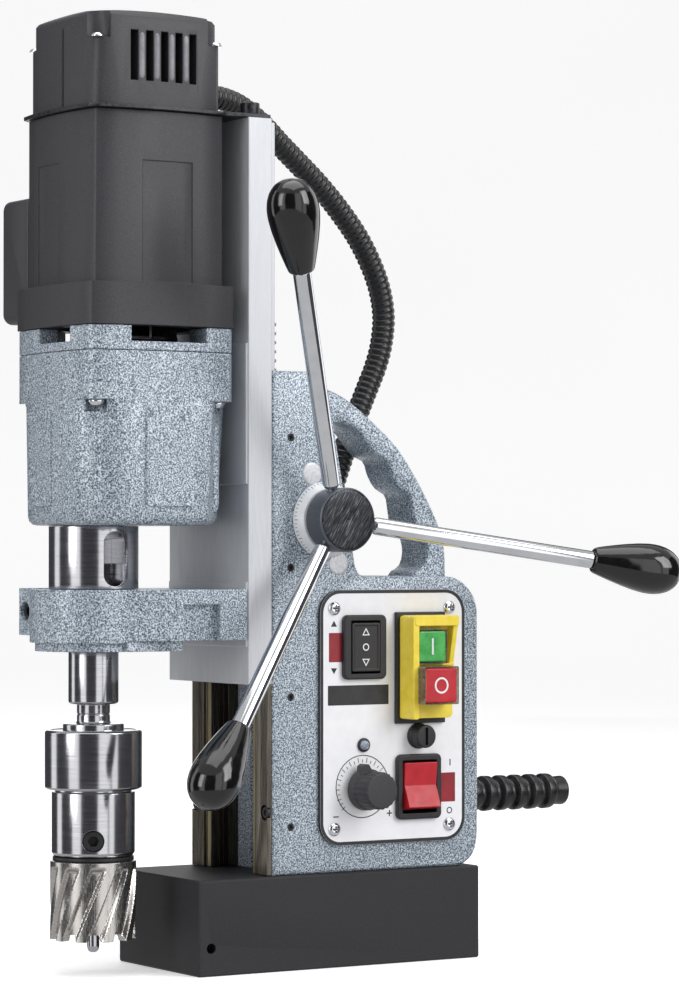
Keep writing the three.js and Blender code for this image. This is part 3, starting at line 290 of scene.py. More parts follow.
PAINT = {
    "hammertone": hammertone(),
    "magnet": grained_plastic("magnet_paint", "magnet_black", (20, 20, 23), (36, 36, 40), 0.6),
    "plastic": grained_plastic("black_plastic", "black_plastic", (34, 34, 38), (60, 59, 65), 0.5),
    "dark": grained_plastic("dark_plastic", "black_plastic", (20, 20, 23), (38, 38, 42), 0.45),
    "gloss": moulded("black_gloss", "black_gloss", (6, 6, 7), (13, 13, 14), 0.1, Coat_Weight=0.3),
    "black_steel": brushed(
        "black_steel", "black_steel", (34, 34, 37), (62, 62, 66), 0.38, (6, 6, 6), 0.7,
    ),
    "hub": scratched_hub(),
    # The hub's side: black steel painted a lighter blue-grey, a painted sheen.
    "hub_side_painted_sheen": brushed("hub_side_painted_sheen", "black_steel", (82, 86, 94), (104, 108, 116), 0.4, (8, 1, 1), 0.6),
    "plug": brushed(
        "bare_plug", "machined_steel", (176, 177, 182), (200, 201, 206), 0.4, (4, 4, 4), 0.5,
    ),
    # Light grey on the black plastic bars of the cap: a painted highlight.
    "bar": moulded("cap_bar_painted_highlight", "black_plastic", (116, 116, 122), (144, 144, 150), 0.4),
    "steel": turned_steel("turned_steel", "machined_steel", (168, 168, 172), (190, 190, 194), 0.15),
    "cutter": brushed(
        "cutter_steel", "machined_steel", (172, 168, 165), (200, 196, 192), 0.24, (1, 1, 12), depth=0.004,
    ),
    "rail": brushed("rail_steel", "machined_steel", (70, 66, 60), (128, 121, 110), 0.3, (1, 1, 60)),
    "way": brushed("machined_way", "hammertone_casting", (48, 46, 44), (88, 84, 78), 0.35, (1, 1, 60)),
    "chrome": brushed(
        "chrome", "chrome", (208, 210, 214), (220, 222, 226), 0.06, (30, 30, 30), depth=0.0005,
    ),
    "anodised": brushed(
        "anodised", "anodised", (184, 186, 191), (197, 199, 203), 0.48, (2, 2, 40), 0.35, 0.006,
    ),
    "strip": brushed(
        "brass_strip", "brass", (122, 112, 86), (152, 142, 112), 0.35, (1, 1, 60), 0.8, 0.004,
    ),
    "brass": brushed("brass", "brass", (150, 124, 66), (190, 162, 96), 0.3),
    "copper": brushed("copper", "copper_winding", (150, 84, 48), (190, 112, 70), 0.35, (1, 1, 0.3)),
    "resin": moulded("resin", "resin", (74, 56, 40), (98, 76, 56), 0.4),
    "yellow": moulded("yellow", "yellow_plastic", (232, 205, 48), (246, 222, 82), 0.32),
    "green": moulded("green", "green_plastic", (46, 150, 62), (82, 182, 92), 0.28, Coat_Weight=0.3),
    "red": moulded("red", "red_plastic", (176, 16, 34), (194, 28, 42), 0.36),
    # Lighter orange-red for the red stop button's faces towards -Y: a painted highlight of the lit side.
    "red_painted_highlight": moulded("red_painted_highlight", "red_plastic", (222, 96, 50), (240, 132, 74), 0.3),
    "panel": moulded("panel_paint", "panel_paint", (236, 236, 241), (242, 242, 246), 0.38),
    "ink": moulded("black_ink", "panel_paint", (24, 24, 27), (40, 40, 44), 0.45),
    "label": moulded("red_label", "panel_paint", (128, 14, 28), (152, 22, 38), 0.42),
    "white": moulded("white_ink", "panel_paint", (232, 232, 234), (244, 244, 246), 0.4),
    "scale": moulded("scale_paint", "scale_ring", (214, 217, 221), (230, 232, 236), 0.34),
    "board": moulded("board", "circuit_green", (36, 98, 62), (54, 124, 82), 0.4),
    "rubber": ribbed_rubber(),
    "lens": clear_lens(),
    "clear": clear_plastic(),
}


# ---- building pieces ----
def add(name, mesh, paint, body, hides=(), bevel=0.0, angle=35, where=None):
    """Puts a mesh into the scene as a finished piece; bevel is in millimetres.

    body is the body it rides on; given a tuple (body, body, start, end), its entries are not used and the
    piece rides on no body.
    """
    if where is not None:
        mesh.transform(where)
    mesh.materials.clear()
    mesh.materials.append(PAINT[paint])
    mesh.shade_smooth()
    mesh.set_sharp_from_angle(angle=math.radians(angle))
    piece = bpy.data.objects.new(name, mesh)
    bpy.context.scene.collection.objects.link(piece)
    if bevel:
        edge = piece.modifiers.new("edge", "BEVEL")
        edge.width = bevel * MM
        edge.segments = 3
        edge.limit_method = "ANGLE"
        edge.angle_limit = math.radians(angle)
        edge.harden_normals = True
    if isinstance(body, str):
        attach(piece, body)
    else:
        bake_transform(piece)
    if hides:
        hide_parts(*hides)
    return piece


def from_bmesh(name, bm):
    bmesh.ops.recalc_face_normals(bm, faces=bm.faces)
    mesh = bpy.data.meshes.new(name)
    bm.to_mesh(mesh)
    bm.free()
    return mesh


def refined(node, paint, bevel=0.0, angle=30, body=None):
    """A CAD node's shape with its flat facets merged and its edges rounded."""
    bm = bmesh.new()
    bm.from_mesh(NODES[node].data)
    bmesh.ops.remove_doubles(bm, verts=bm.verts, dist=0.002 * MM)
    bmesh.ops.dissolve_limit(bm, angle_limit=math.radians(0.4), verts=bm.verts, edges=bm.edges)
    mesh = from_bmesh(node + "_surface", bm)
    return add(node + "_surface", mesh, paint, body or BODY_OF[node], (node,), bevel, angle)


def eased(profile, radius, steps=3):
    """The profile with every inner corner rounded."""
    points = [Vector(profile[0])]
    for before, corner, after in zip(profile, profile[1:], profile[2:]):
        corner = Vector(corner)
        back, on = Vector(before) - corner, Vector(after) - corner
        reach = min(radius, 0.45 * back.length, 0.45 * on.length)
        start, end = corner + back.normalized() * reach, corner + on.normalized() * reach
        for step in range(steps + 1):
            t = step / steps
            points.append((1 - t) ** 2 * start + 2 * t * (1 - t) * corner + t ** 2 * end)
    return [tuple(point) for point in points + [Vector(profile[-1])]]


def skin(bm, rings):
    """Faces between rings of vertices; a ring of one vertex closes to a point."""
    for a, b in zip(rings, rings[1:]):
        count = max(len(a), len(b))
        for k in range(count):
            n = (k + 1) % count
            corners = [a[k % len(a)], a[n % len(a)], b[n % len(b)], b[k % len(b)]]
            face = list(dict.fromkeys(corners))
            if len(face) > 2:
                bm.faces.new(face)


def ring_of(bm, radius, height, sides):
    """A level ring of vertices round Z, in metres."""
    angles = [2 * math.pi * k / sides for k in range(sides)]
    return [bm.verts.new((radius * math.cos(a), radius * math.sin(a), height)) for a in angles]


def lathe(profile, sides=96, ease=0.35):
    """A turned form round Z from (radius, height) points."""
    bm = bmesh.new()
    rings = []
    for radius, height in eased(profile, ease):
        if radius < 1e-6:
            rings.append([bm.verts.new((0, 0, height * MM))])
            continue
        rings.append(ring_of(bm, radius * MM, height * MM, sides))
    skin(bm, rings)
    return from_bmesh("turned", bm)


def slab(outline, bottom, top):
    """An outline of (x, y) points drawn out along Z."""
    bm = bmesh.new()
    rings = [[bm.verts.new((x * MM, y * MM, z * MM)) for x, y in outline] for z in (bottom, top)]
    skin(bm, rings)
    bm.faces.new(rings[0])
    bm.faces.new(rings[1])
    return from_bmesh("slab", bm)


def oblong(x, y, radius, steps=6):
    """Outline of a rectangle with round corners."""
    corners = [(x[1], y[1], 0), (x[0], y[1], 1), (x[0], y[0], 2), (x[1], y[0], 3)]
    points = []
    for px, py, quarter in corners:
        cx = px - math.copysign(radius, px - (x[0] + x[1]) / 2)
        cy = py - math.copysign(radius, py - (y[0] + y[1]) / 2)
        for step in range(steps + 1):
            angle = (quarter + step / steps) * math.pi / 2
            points.append((cx + radius * math.cos(angle), cy + radius * math.sin(angle)))
    return points


def circle(x, y, radius, steps=32):
    angles = [2 * math.pi * k / steps for k in range(steps)]
    return [(x + radius * math.cos(a), y + radius * math.sin(a)) for a in angles]


def joined(*meshes):
    bm = bmesh.new()
    for mesh in meshes:
        bm.from_mesh(mesh)
    return from_bmesh("joined", bm)


def carved(mesh, cutter):
    """The mesh with the cutter's volume taken out."""
    scene = bpy.context.scene.collection.objects
    body, tool = bpy.data.objects.new("body", mesh), bpy.data.objects.new("tool", cutter)
    scene.link(body)
    scene.link(tool)
    boolean = body.modifiers.new("cut", "BOOLEAN")
    boolean.object = tool
    boolean.solver = "EXACT"
    depsgraph = bpy.context.evaluated_depsgraph_get()
    result = bpy.data.meshes.new_from_object(body.evaluated_get(depsgraph))
    bpy.data.objects.remove(body)
    bpy.data.objects.remove(tool)
    return result


def at(x, y, z):
    return Matrix.Translation(Vector((x, y, z)) * MM)


ALONG_X = Matrix(((0, 0, 1, 0), (1, 0, 0, 0), (0, 1, 0, 0), (0, 0, 0, 1)))
ALONG_Y = Matrix(((0, 1, 0, 0), (0, 0, 1, 0), (1, 0, 0, 0), (0, 0, 0, 1)))
UPRIGHT = Matrix(((1, 0, 0, 0), (0, 0, 1, 0), (0, 1, 0, 0), (0, 0, 0, 1)))
LEFTWARDS = Matrix(((0, 0, -1, 0), (1, 0, 0, 0), (0, 1, 0, 0), (0, 0, 0, 1)))
ON_DRILL_AXIS = at(DRILL.x, DRILL.y, 0)
ON_FEED_AXIS = at(0, FEED.y, FEED.z)


def on_panel(outline, proud, sunk=0.05):
    """An outline of (y, z) points as a thin sheet on the panel's face."""
    mesh = slab(outline, PANEL_FACE - sunk, PANEL_FACE + proud)
    mesh.transform(ALONG_X)
    return mesh


# ---- conduit and its glands ----
def smooth_route(points, steps):
    """Catmull-Rom points through the route."""
    ends = [2 * Vector(points[0]) - Vector(points[1])]
    tail = [2 * Vector(points[-1]) - Vector(points[-2])]
    knots = ends + [Vector(p) for p in points] + tail
    line = []
    for a, b, c, d in zip(knots, knots[1:], knots[2:], knots[3:]):
        square, cube = 2 * a - 5 * b + 4 * c - d, 3 * b - a - 3 * c + d
        for step in range(steps):
            t = step / steps
            line.append(0.5 * (2 * b + (c - a) * t + square * t ** 2 + cube * t ** 3))
    return line + [Vector(points[-1])]


def add_conduit():
    line = smooth_route(CONDUIT_ROUTE, 36)
    pitch = 3.3
    across = Vector((1, 0, 0))
    sides = 24
    travelled = 0.0
    bm = bmesh.new()
    rings = []
    for index, point in enumerate(line):
        if index:
            travelled += (point - line[index - 1]).length
        ahead = line[min(index + 1, len(line) - 1)] - line[max(index - 1, 0)]
        up = ahead.cross(across).normalized()
        side = up.cross(ahead).normalized()
        wave = abs(math.sin(math.pi * travelled / pitch)) ** 0.6
        radius = CONDUIT_RADIUS * (0.86 + 0.14 * wave)
        rings.append([
            bm.verts.new((point + radius * (math.cos(a) * side + math.sin(a) * up)) * MM)
            for a in (2 * math.pi * k / sides for k in range(sides))
        ])
    skin(bm, rings)
    bm.faces.new(rings[0])
    bm.faces.new(rings[-1])
    mesh = from_bmesh("conduit", bm)
    mesh.materials.append(PAINT["rubber"])
    mesh.shade_smooth()
    hose = bpy.data.objects.new("corrugated_conduit", mesh)
    bpy.context.scene.collection.objects.link(hose)
    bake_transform(hose)
    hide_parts("conduit")


def add_glands():
    for node, along, axis in (
        ("conduit_gland_lower", Matrix.Identity(4), 2), ("conduit_gland_upper", ALONG_Y, 1),
    ):
        length = (high(node) - low(node))[axis]
        flange = min(4.6, 0.42 * length)
        profile = [
            (6.6, 0), (9, 0), (9, flange), (7.9, flange + 0.8), (7.9, 0.66 * length),
            (8.5, 0.69 * length), (7.9, 0.72 * length), (7.9, length - 1), (7.2, length), (6.6, length),
            (6.6, 0),
        ]
        foot = middle(node)
        foot[axis] = low(node)[axis]
        place = at(*foot) @ along
        add(node + "_turned", lathe(profile, 48), "rubber", BODY_OF[node], (node,), where=place)


# ---- castings and magnet ----
def add_magnet():
    refined("magnet_body", "magnet", 0.7)
    for node, paint in (("magnet_coil", "copper"), ("magnet_potting", "resin")):
        refined(node, paint, 0.3)


def second_paint(piece, paint, chosen):
    """A second finish on the faces that chosen(centre in millimetres, normal) picks."""
    piece.data.materials.append(PAINT[paint])
    last = len(piece.data.materials) - 1
    for face in piece.data.polygons:
        if chosen(face.center / MM, face.normal):
            face.material_index = last


def add_housing():
    housing = refined("housing", "hammertone", 0.0, 34)
    wall = high("gib_strip").x + 1.5
    second_paint(housing, "way", lambda centre, normal: (
        abs(centre.x) < wall and centre.y < -17 and centre.z > 49 and abs(normal.x) > 0.7
    ))
    side = high("housing").x
    for number, (y, z) in enumerate(HOUSING_PLUGS, 1):
        plug = lathe([(0, -1), (6, -1), (6, 0.25), (5.2, 0.55), (0, 0.55)], 48)
        add(f"housing_plug_{number}", plug, "plug", "base", where=at(side, y, z) @ ALONG_X)


def add_gib_screws():
    side = high("housing").x
    for number, z in enumerate(GIB_SCREWS["heights"], 1):
        screw = lathe([(0, -4), (1.95, -4), (1.95, -0.6), (1.1, -0.5), (1.0, -1.8), (0, -1.8)], 24, 0.1)
        place = at(side, GIB_SCREWS["y"], z) @ ALONG_X
        add(f"gib_screw_{number}", screw, "dark", "base", where=place)


def add_guides():
    for node in ("guide_rail_right", "guide_rail_left"):
        rail = refined(node, "rail", 0.25)
        second_paint(rail, "strip", lambda centre, normal: (
            abs(centre.x) < 26.6 and centre.y < -40 and normal.y < -0.5
        ))
    refined("gib_strip", "brass", 0.15)
    for node in ("pinion_bush_right", "pinion_bush_left"):
        refined(node, "brass", 0.0)
    facing = Matrix.Rotation(math.pi, 4, "Z") @ ALONG_Y
    for side in (-1, 1):
        for z in RAIL_SCREWS["heights"]:
            name = f"rail_screw_{'right' if side > 0 else 'left'}_{z}"
            place = at(side * RAIL_SCREWS["x"], RAIL_SCREWS["y"], z) @ facing
            add(name, socket_head(3.1, 1.6), "dark", "base", where=place)


def add_slide():
    refined("slide", "anodised", 0.5)
    refined("rack", "rail", 0.0)


def add_bracket():
    refined("bracket", "hammertone", 0.9, 40)
    screw = carved(
        lathe([(0, -5), (4.5, -5), (4.9, -4.6), (4.9, -0.1), (3, -0.1), (3, 29), (0, 29)], 48, 0.2),
        slab(circle(0, 0, 2.7, 6), -6, -2.6),
    )
    add("clamp_screw_turned", screw, "black_steel", "carriage", ("clamp_screw",),
        where=at(*CLAMP_SCREW) @ ALONG_Y)


def socket_head(radius, height):
    """A cap screw's head standing on Z zero, with its hexagon socket."""
    profile = [(0, 0), (radius, 0), (radius, height - 0.3), (radius - 0.4, height), (0, height)]
    socket = slab(circle(0, 0, 0.52 * radius, 6), 0.4 * height, height + 1)
    return carved(lathe(profile, 40, 0.2), socket)


def pan_head(radius, height):
    """A cross-headed screw's head standing on Z zero."""
    profile = [(0, 0), (radius, 0), (radius, 0.35 * height), (0.7 * radius, 0.9 * height), (0, height)]
    head = lathe(profile, 32, 0.5)
    wing, reach = 0.16 * radius, 0.55 * radius
    for x, y in ((reach, wing), (wing, reach)):
        head = carved(head, slab([(-x, -y), (x, -y), (x, y), (-x, y)], 0.45 * height, height + 1))
    return head


# ---- gearbox ----
def bulged(half, bulge, chamfer, steps=12):
    """Outline of a square whose faces swell outwards and whose corners have a flat."""
    points = []
    for side in range(4):
        turn = Matrix.Rotation(side * math.pi / 2, 2)
        for step in range(steps + 1):
            t = step / steps
            along = (2 * t - 1) * (half - chamfer)
            points.append(tuple(turn @ Vector((half + 4 * bulge * t * (1 - t), along))))
    return points


def add_gearbox():
    refined("gearbox_casing", "hammertone", 0.8, 40)
    refined("gearbox_cover", "hammertone", 0.5, 40)
    for number in range(4):
        add_corner(number, number * math.pi / 2 + math.pi / 4)
    gasket = slab(bulged(39.9, 3.2, 2.5), SEAM + 0.02, SEAM + 0.28)
    add("gearbox_gasket", gasket, "dark", "carriage", where=at(MOTOR.x, MOTOR.y, 0))


def add_corner(number, angle):
    """One corner of the gearbox: a soft rib, and the screw under the shoulder."""
    around = at(MOTOR.x, MOTOR.y, 0) @ Matrix.Rotation(angle, 4, "Z")
    rib = lathe([(0, 231), (1.8, 231.6), (3, 235), (3.2, 271), (2.4, 276), (0, 278)], 32, 1.5)
    add(f"gearbox_rib_{number}", rib, "hammertone", "carriage", where=around @ at(CORNER["rib"], 0, 0))
    under = around @ at(CORNER["screw"], 0, SHOULDER) @ Matrix.Rotation(math.pi, 4, "X")
    add(f"gearbox_screw_{number}", pan_head(4.3, 3.4), "chrome", "carriage", where=under)


# ---- motor ----
def add_motor():
    refined("motor_housing", "plastic", 0.5, 40)
    refined("motor_cap", "plastic", 0.5, 40)
    refined("side_box", "plastic", 0.4, 40)
    refined("top_plate", "black_steel", 0.35)
    refined("stator", "copper")
    add_cap_details()
    top = high("top_plate").z
    for number, x in enumerate((-33.5, 33.5)):
        add(f"top_screw_{number}", socket_head(4.9, 6), "black_steel", "carriage", where=at(x, -50, top))
    left, right = low("side_box"), high("side_box")
    for number in range(4):
        z = left.z + 12 + number * 13
        rib = slab(oblong((left.y + 6, right.y - 6), (z, z + 4), 1.6), -0.4, 0.7)
        rib.transform(LEFTWARDS)
        add(f"side_box_rib_{number}", rib, "plastic", "carriage", bevel=0.4, where=at(left.x, 0, 0))


def add_cap_details():
    """The end cap's screws, the bars between its vents, painted light grey as a painted highlight, and
    the line down its front, a low rib painted darker as painted shade.
    """
    for number in range(4):
        corner = Matrix.Rotation(number * math.pi / 2 + math.pi / 4, 4, "Z")
        place = at(MOTOR.x, MOTOR.y, CORNER["cap_floor"]) @ corner @ at(CORNER["cap_screw"], 0, 0)
        add(f"cap_screw_{number}", pan_head(3.4, 2.2), "chrome", "carriage", where=place)
    for side in (-1, 1):
        for number in range(4):
            y = CAP["first_bar"] + CAP["bar_pitch"] * number
            face = CAP["half"] + CAP["bulge"] * (1 - (y / CAP["flat"]) ** 2)
            # Each bar is black plastic painted light grey: a painted highlight.
            bar = lathe([(0, 446), (1.5, 446.4), (2, 448), (2, 468), (1.5, 469.6), (0, 470)], 32, 0.8)
            name = f"cap_bar_{'right' if side > 0 else 'left'}_{number}"
            add(name, bar, "bar", "carriage", where=at(side * (face - 1.5), MOTOR.y + y, 0))
    # A low rib down the cap's front, painted darker than the cap: painted shade along the rib.
    painted_shade_rib = slab(oblong((5.7, 6.7), (434, 473), 0.4), 0, 0.9)
    painted_shade_rib.transform(at(0, MOTOR.y - CAP["half"] - CAP["bulge"] - 0.35, 0) @ UPRIGHT)
    add("cap_rib_painted_shade", painted_shade_rib, "dark", "carriage", bevel=0.2)


# ---- spindle and tooling ----
def add_spindle():
    sleeve = lathe([
        (12.3, 162.6), (15, 162.6), (15, 193.3), (22.6, 193.3), (22.6, 224.7), (15, 224.7), (15, 244),
        (12.5, 244), (12.5, 280), (0, 280), (0, 226), (9.6, 226), (12.3, 162.6),
    ], 128)
    slot = slab(oblong((-5.75, 5.75), (194.6, 222), 5.6, 10), -26, 26)
    slot.transform(ALONG_X)
    add("spindle_turned", carved(sleeve, slot), "steel", "spindle", ("spindle",), where=ON_DRILL_AXIS)
    refined("spindle_bearing", "steel")
    refined("armature", "black_steel")
    refined("intermediate_gear", "steel")


def add_arbor():
    profile = [
        (9.8, 59.4), (19.6, 59.4), (20.9, 61.4), (20.9, 91.6), (19.2, 91.8), (19.2, 93), (23.4, 93),
        (24.4, 94), (24.4, 121.6), (23.4, 122.6), (21.6, 122.6), (21.4, 122.2), (15.6, 122.2),
        (15.3, 122.7), (15.3, 125.4), (14.6, 125.8), (8.9, 125.8), (8.3, 127), (8.3, 130), (7.8, 130.4),
        (8.3, 130.8), (8.3, 135.4), (11.8, 135.6), (12.6, 136.6), (12.6, 162.2), (11.8, 162.4),
        (9.9, 206), (0, 206), (0, 157), (4.4, 157), (4.4, 107), (9.8, 106), (9.8, 59.4),
    ]
    screw = middle("set_screw")
    aim = math.atan2(screw.y - DRILL.y, screw.x - DRILL.x)
    hole = lathe([(0, 8), (5.5, 8), (5.5, 26), (0, 26)], 48, 0.05)
    turn = at(0, 0, screw.z) @ Matrix.Rotation(aim, 4, "Z") @ ALONG_X
    hole.transform(turn)
    body = carved(lathe(profile, 128), hole)
    add("arbor_turned", body, "steel", "spindle", ("arbor",), where=ON_DRILL_AXIS)
    seat = lathe([(9.7, 57.75), (20.4, 57.75), (20.4, 59.25), (9.7, 59.25), (9.7, 57.75)], 96, 0.1)
    add("arbor_seat_ring", seat, "dark", "spindle", where=ON_DRILL_AXIS)
    grub = carved(
        lathe([(0, 9.9), (5.2, 9.9), (5.2, 19.4), (4.7, 19.9), (0, 19.9)], 48),
        slab(circle(0, 0, 2.9, 6), 16, 21),
    )
    add("set_screw_turned", grub, "dark", "spindle", ("set_screw",), where=ON_DRILL_AXIS @ turn)


def flute(angle, height, count=10, twist=1.15):
    """Depth of the cutter's flutes, 0 on a land and 1 in a flute."""
    phase = (math.degrees(angle) - twist * height) * count / 360
    share = phase - math.floor(phase)
    edge = 0.07
    return min(1.0, max(0.0, min((share - 0.42) / edge, (1.0 - share) / (1.6 * edge))))


def add_cutter():
    bottom, top = low("cutter").z, CUTTER_TOP
    around, up = 320, 56
    outer, inner, depth, plain = 21.6, 17.0, 2.3, 3.2
    bm = bmesh.new()
    rings = []
    for level in range(up + 1):
        height = bottom + (top - 0.6 - bottom) * level / up
        fade = min(1.0, max(0.0, (top - plain - height) / 1.8))
        ring = []
        for k in range(around):
            angle = 2 * math.pi * k / around
            cut = flute(angle, height) * fade
            radius = outer - depth * cut
            arch = 3.4 * flute(angle, bottom) * (1 - level / up) ** 12
            ring.append(bm.verts.new(Vector((
                radius * math.cos(angle), radius * math.sin(angle), height + arch,
            )) * MM))
        rings.append(ring)

    def plain_ring(radius, height, lift=0.0):
        return [
            bm.verts.new(Vector((
                radius * math.cos(a), radius * math.sin(a), height + lift * flute(a, bottom),
            )) * MM)
            for a in (2 * math.pi * k / around for k in range(around))
        ]

    shank = [
        plain_ring(outer - 1.2, top), plain_ring(9.5, top), plain_ring(9.5, 104.4), plain_ring(8.9, 105),
        plain_ring(3.5, 105), plain_ring(3.5, 50), plain_ring(inner, 50), plain_ring(inner, bottom, 3.4),
    ]
    skin(bm, rings + shank + [rings[0]])
    add("cutter_fluted", from_bmesh("cutter", bm), "cutter", "spindle", ("cutter",), angle=28,
        where=ON_DRILL_AXIS)
    pin = lathe([
        (0, 11), (1.6, 11.1), (2.6, 12), (3.1, 14), (3.1, 105.3), (4.1, 105.3), (4.1, 112), (0, 112),
    ], 48)
    add("pilot_pin_turned", pin, "steel", "pilot_pin", ("pilot_pin",), where=ON_DRILL_AXIS)


def add_spring():
    """The spring over the pilot pin."""
    ends = [Vector((DRILL.x, DRILL.y, z)) * MM for z in (high("pilot_spring").z, low("pilot_spring").z)]
    refined("pilot_spring", "steel", body=("spindle", "pilot_pin", *ends))


# ---- feed levers ----
def add_feed():
    hub = lathe([
        (8.3, 45.8), (15.2, 45.8), (16.3, 46.8), (16.3, 60.4), (15.9, 61.1), (14.4, 61.8), (0, 62),
        (0, 58), (8.3, 58), (8.3, 45.8),
    ], 96, 0.6)
    place = ON_FEED_AXIS @ ALONG_X
    piece = add("feed_hub_turned", hub, "hub_side_painted_sheen", "feed_hub", ("feed_hub",), where=place)
    # The end face keeps the dark scratched black steel; the rest of the hub shows the painted sheen.
    second_paint(piece, "hub", lambda centre, normal: centre.x > 61.3 and normal.x > 0.6)
    refined("pinion_shaft", "steel")
    rod = [
        (0, 10), (3, 10), (3, 19), (3.6, 19), (4.5, 20.8), (4.5, 137.2), (3, 137.2), (3, 158), (0, 158),
    ]
    knob = [
        (3.3, 137.5), (5.9, 137.5), (6.6, 138.2), (7.6, 141.5), (9.2, 147.5), (10.8, 154), (12.2, 161),
        (12.95, 167), (12.9, 171.5), (12.1, 176), (10.4, 179.9), (7.9, 182.9), (4.6, 184.8), (0, 185.5),
        (0, 159), (3.3, 159), (3.3, 137.5),
    ]
    for number, angle in enumerate(LEVER_ANGLES, 1):
        outward = Vector((0, math.cos(angle), math.sin(angle)))
        direction = Vector((math.sin(LEVER_TILT), 0, 0)) + math.cos(LEVER_TILT) * outward
        turn = direction.to_track_quat("Z", "X").to_matrix().to_4x4()
        place = at(*LEVER_ROOT) @ turn
        rod_name, knob_name = f"lever_rod_{number}", f"lever_knob_{number}"
        add(rod_name + "_turned", lathe(rod, 64, 0.4), "chrome", "feed_hub", (rod_name,), where=place)
        add(knob_name + "_turned", lathe(knob, 96, 1.6), "gloss", "feed_hub", (knob_name,), where=place)


def add_scale_ring():
    ring = lathe([
        (8.3, 39.4), (19.6, 39.4), (19.6, 40.4), (16.6, 45.4), (8.3, 45.4), (8.3, 39.4),
    ], 96, 0.25)
    add("scale_ring_turned", ring, "scale", "scale_ring", ("scale_ring",), where=ON_FEED_AXIS @ ALONG_X)
    ticks = []
    slope = math.atan2(5.0, 3.0)
    for step in range(60):
        reach = 1.9 if step % 5 == 0 else 1.1
        tick = slab([(-reach, -0.14), (0, -0.14), (0, 0.14), (-reach, 0.14)], 0, 0.06)
        tick.transform(
            ALONG_X @ Matrix.Rotation(2 * math.pi * step / 60, 4, "Z") @ at(19.35, 0, 40.85)
            @ Matrix.Rotation(slope, 4, "Y")
        )
        ticks.append(tick)
    add("scale_ring_ticks", joined(*ticks), "ink", "scale_ring", where=ON_FEED_AXIS)


# ---- control panel ----
def add_panel():
    panel = refined("control_panel", "panel", 0.3)
    second_paint(panel, "ink", lambda centre, normal: abs(normal.x) < 0.5)
    corner, far = low("control_panel"), high("control_panel")

    def inset(distance):
        y, z = (corner.y + distance, far.y - distance), (corner.z + distance, far.z - distance)
        return oblong(y, z, 12 - distance, 12)

    border = carved(on_panel(inset(0.1), 0.08), on_panel(inset(1.8), 1.0, 1.0))
    add("panel_border", border, "ink", "base")
    bar = on_panel(oblong((-8.2, 28.4), (133.4, 143.5), 0.3), 0.09)
    add("panel_bar", bar, "ink", "base")
    for number, (ly, lz) in enumerate((((-7.6, 0.8), (155.5, 170.4)), ((60.8, 69.5), (81.9, 97)))):
        add(f"panel_label_{number}", on_panel(oblong(ly, lz, 0.4), 0.09), "label", "base")
    add_symbols()
    for number in range(1, 5):
        node = f"panel_screw_{number}"
        spot = middle(node)
        place = at(PANEL_FACE, spot.y, spot.z) @ ALONG_X
        add(node + "_head", pan_head(3.5, 2.0), "chrome", "base", (node,), where=place)


def stroke(y, z, half, width):
    """Outline of an upright bar."""
    return [(y - width, z - half), (y + width, z - half), (y + width, z + half), (y - width, z + half)]


def flat_ring(y, z, radius, width):
    return carved(on_panel(circle(y, z, radius), 0.09), on_panel(circle(y, z, radius - width), 1.0, 1.0))


def add_symbols():
    minus = on_panel([(-5.0, 76.3), (-1.8, 76.3), (-1.8, 76.9), (-5.0, 76.9)], 0.09)
    plus = joined(
        on_panel([(27.4, 77.0), (30.6, 77.0), (30.6, 77.6), (27.4, 77.6)], 0.09),
        on_panel(stroke(29.0, 77.3, 1.6, 0.3), 0.095),
    )
    on = on_panel(stroke(66.4, 102.3, 1.7, 0.3), 0.09)
    off = flat_ring(66.0, 77.4, 1.7, 0.5)
    turn_up = on_panel([(-6.4, 173.6), (-2.8, 173.6), (-4.6, 176.6)], 0.09)
    turn_down = on_panel([(-6.4, 152.4), (-2.8, 152.4), (-4.6, 149.4)], 0.09)
    add("panel_symbols", joined(minus, plus, on, turn_up, turn_down, off), "ink", "base")
    ticks = [flat_ring(DIAL[0], middle("speed_knob").z, 16.2, 0.45)]
    first, last, count = -40, 220, 27
    for step in range(count):
        angle = math.radians(first + (last - first) * step / (count - 1))
        reach = 2.6 if step % 2 == 0 else 1.5
        tick = slab([(13.6, -0.16), (13.6 + reach, -0.16), (13.6 + reach, 0.16), (13.6, 0.16)], 0, 0.09)
        tick.transform(at(PANEL_FACE, *DIAL) @ ALONG_X @ Matrix.Rotation(angle, 4, "Z"))
        ticks.append(tick)
    add("dial_scale", joined(*ticks), "ink", "base")


def rounded_block(y, z, radius, back, front):
    """A block standing on the panel, its outline (y, z) with round corners."""
    mesh = slab(oblong(y, z, radius), back, front)
    mesh.transform(ALONG_X)
    return mesh


def room_round(node, gap):
    """The node's spans in Y and Z with a gap all round."""
    a, b = low(node), high(node)
    return (a.y - gap, b.y + gap), (a.z - gap, b.z + gap)


def frame_block(y, z, wall, back, front):
    outer = rounded_block((y[0] - wall, y[1] + wall), (z[0] - wall, z[1] + wall), 0.9, back, front)
    return carved(outer, rounded_block(y, z, 0.5, back - 1, front + 1))


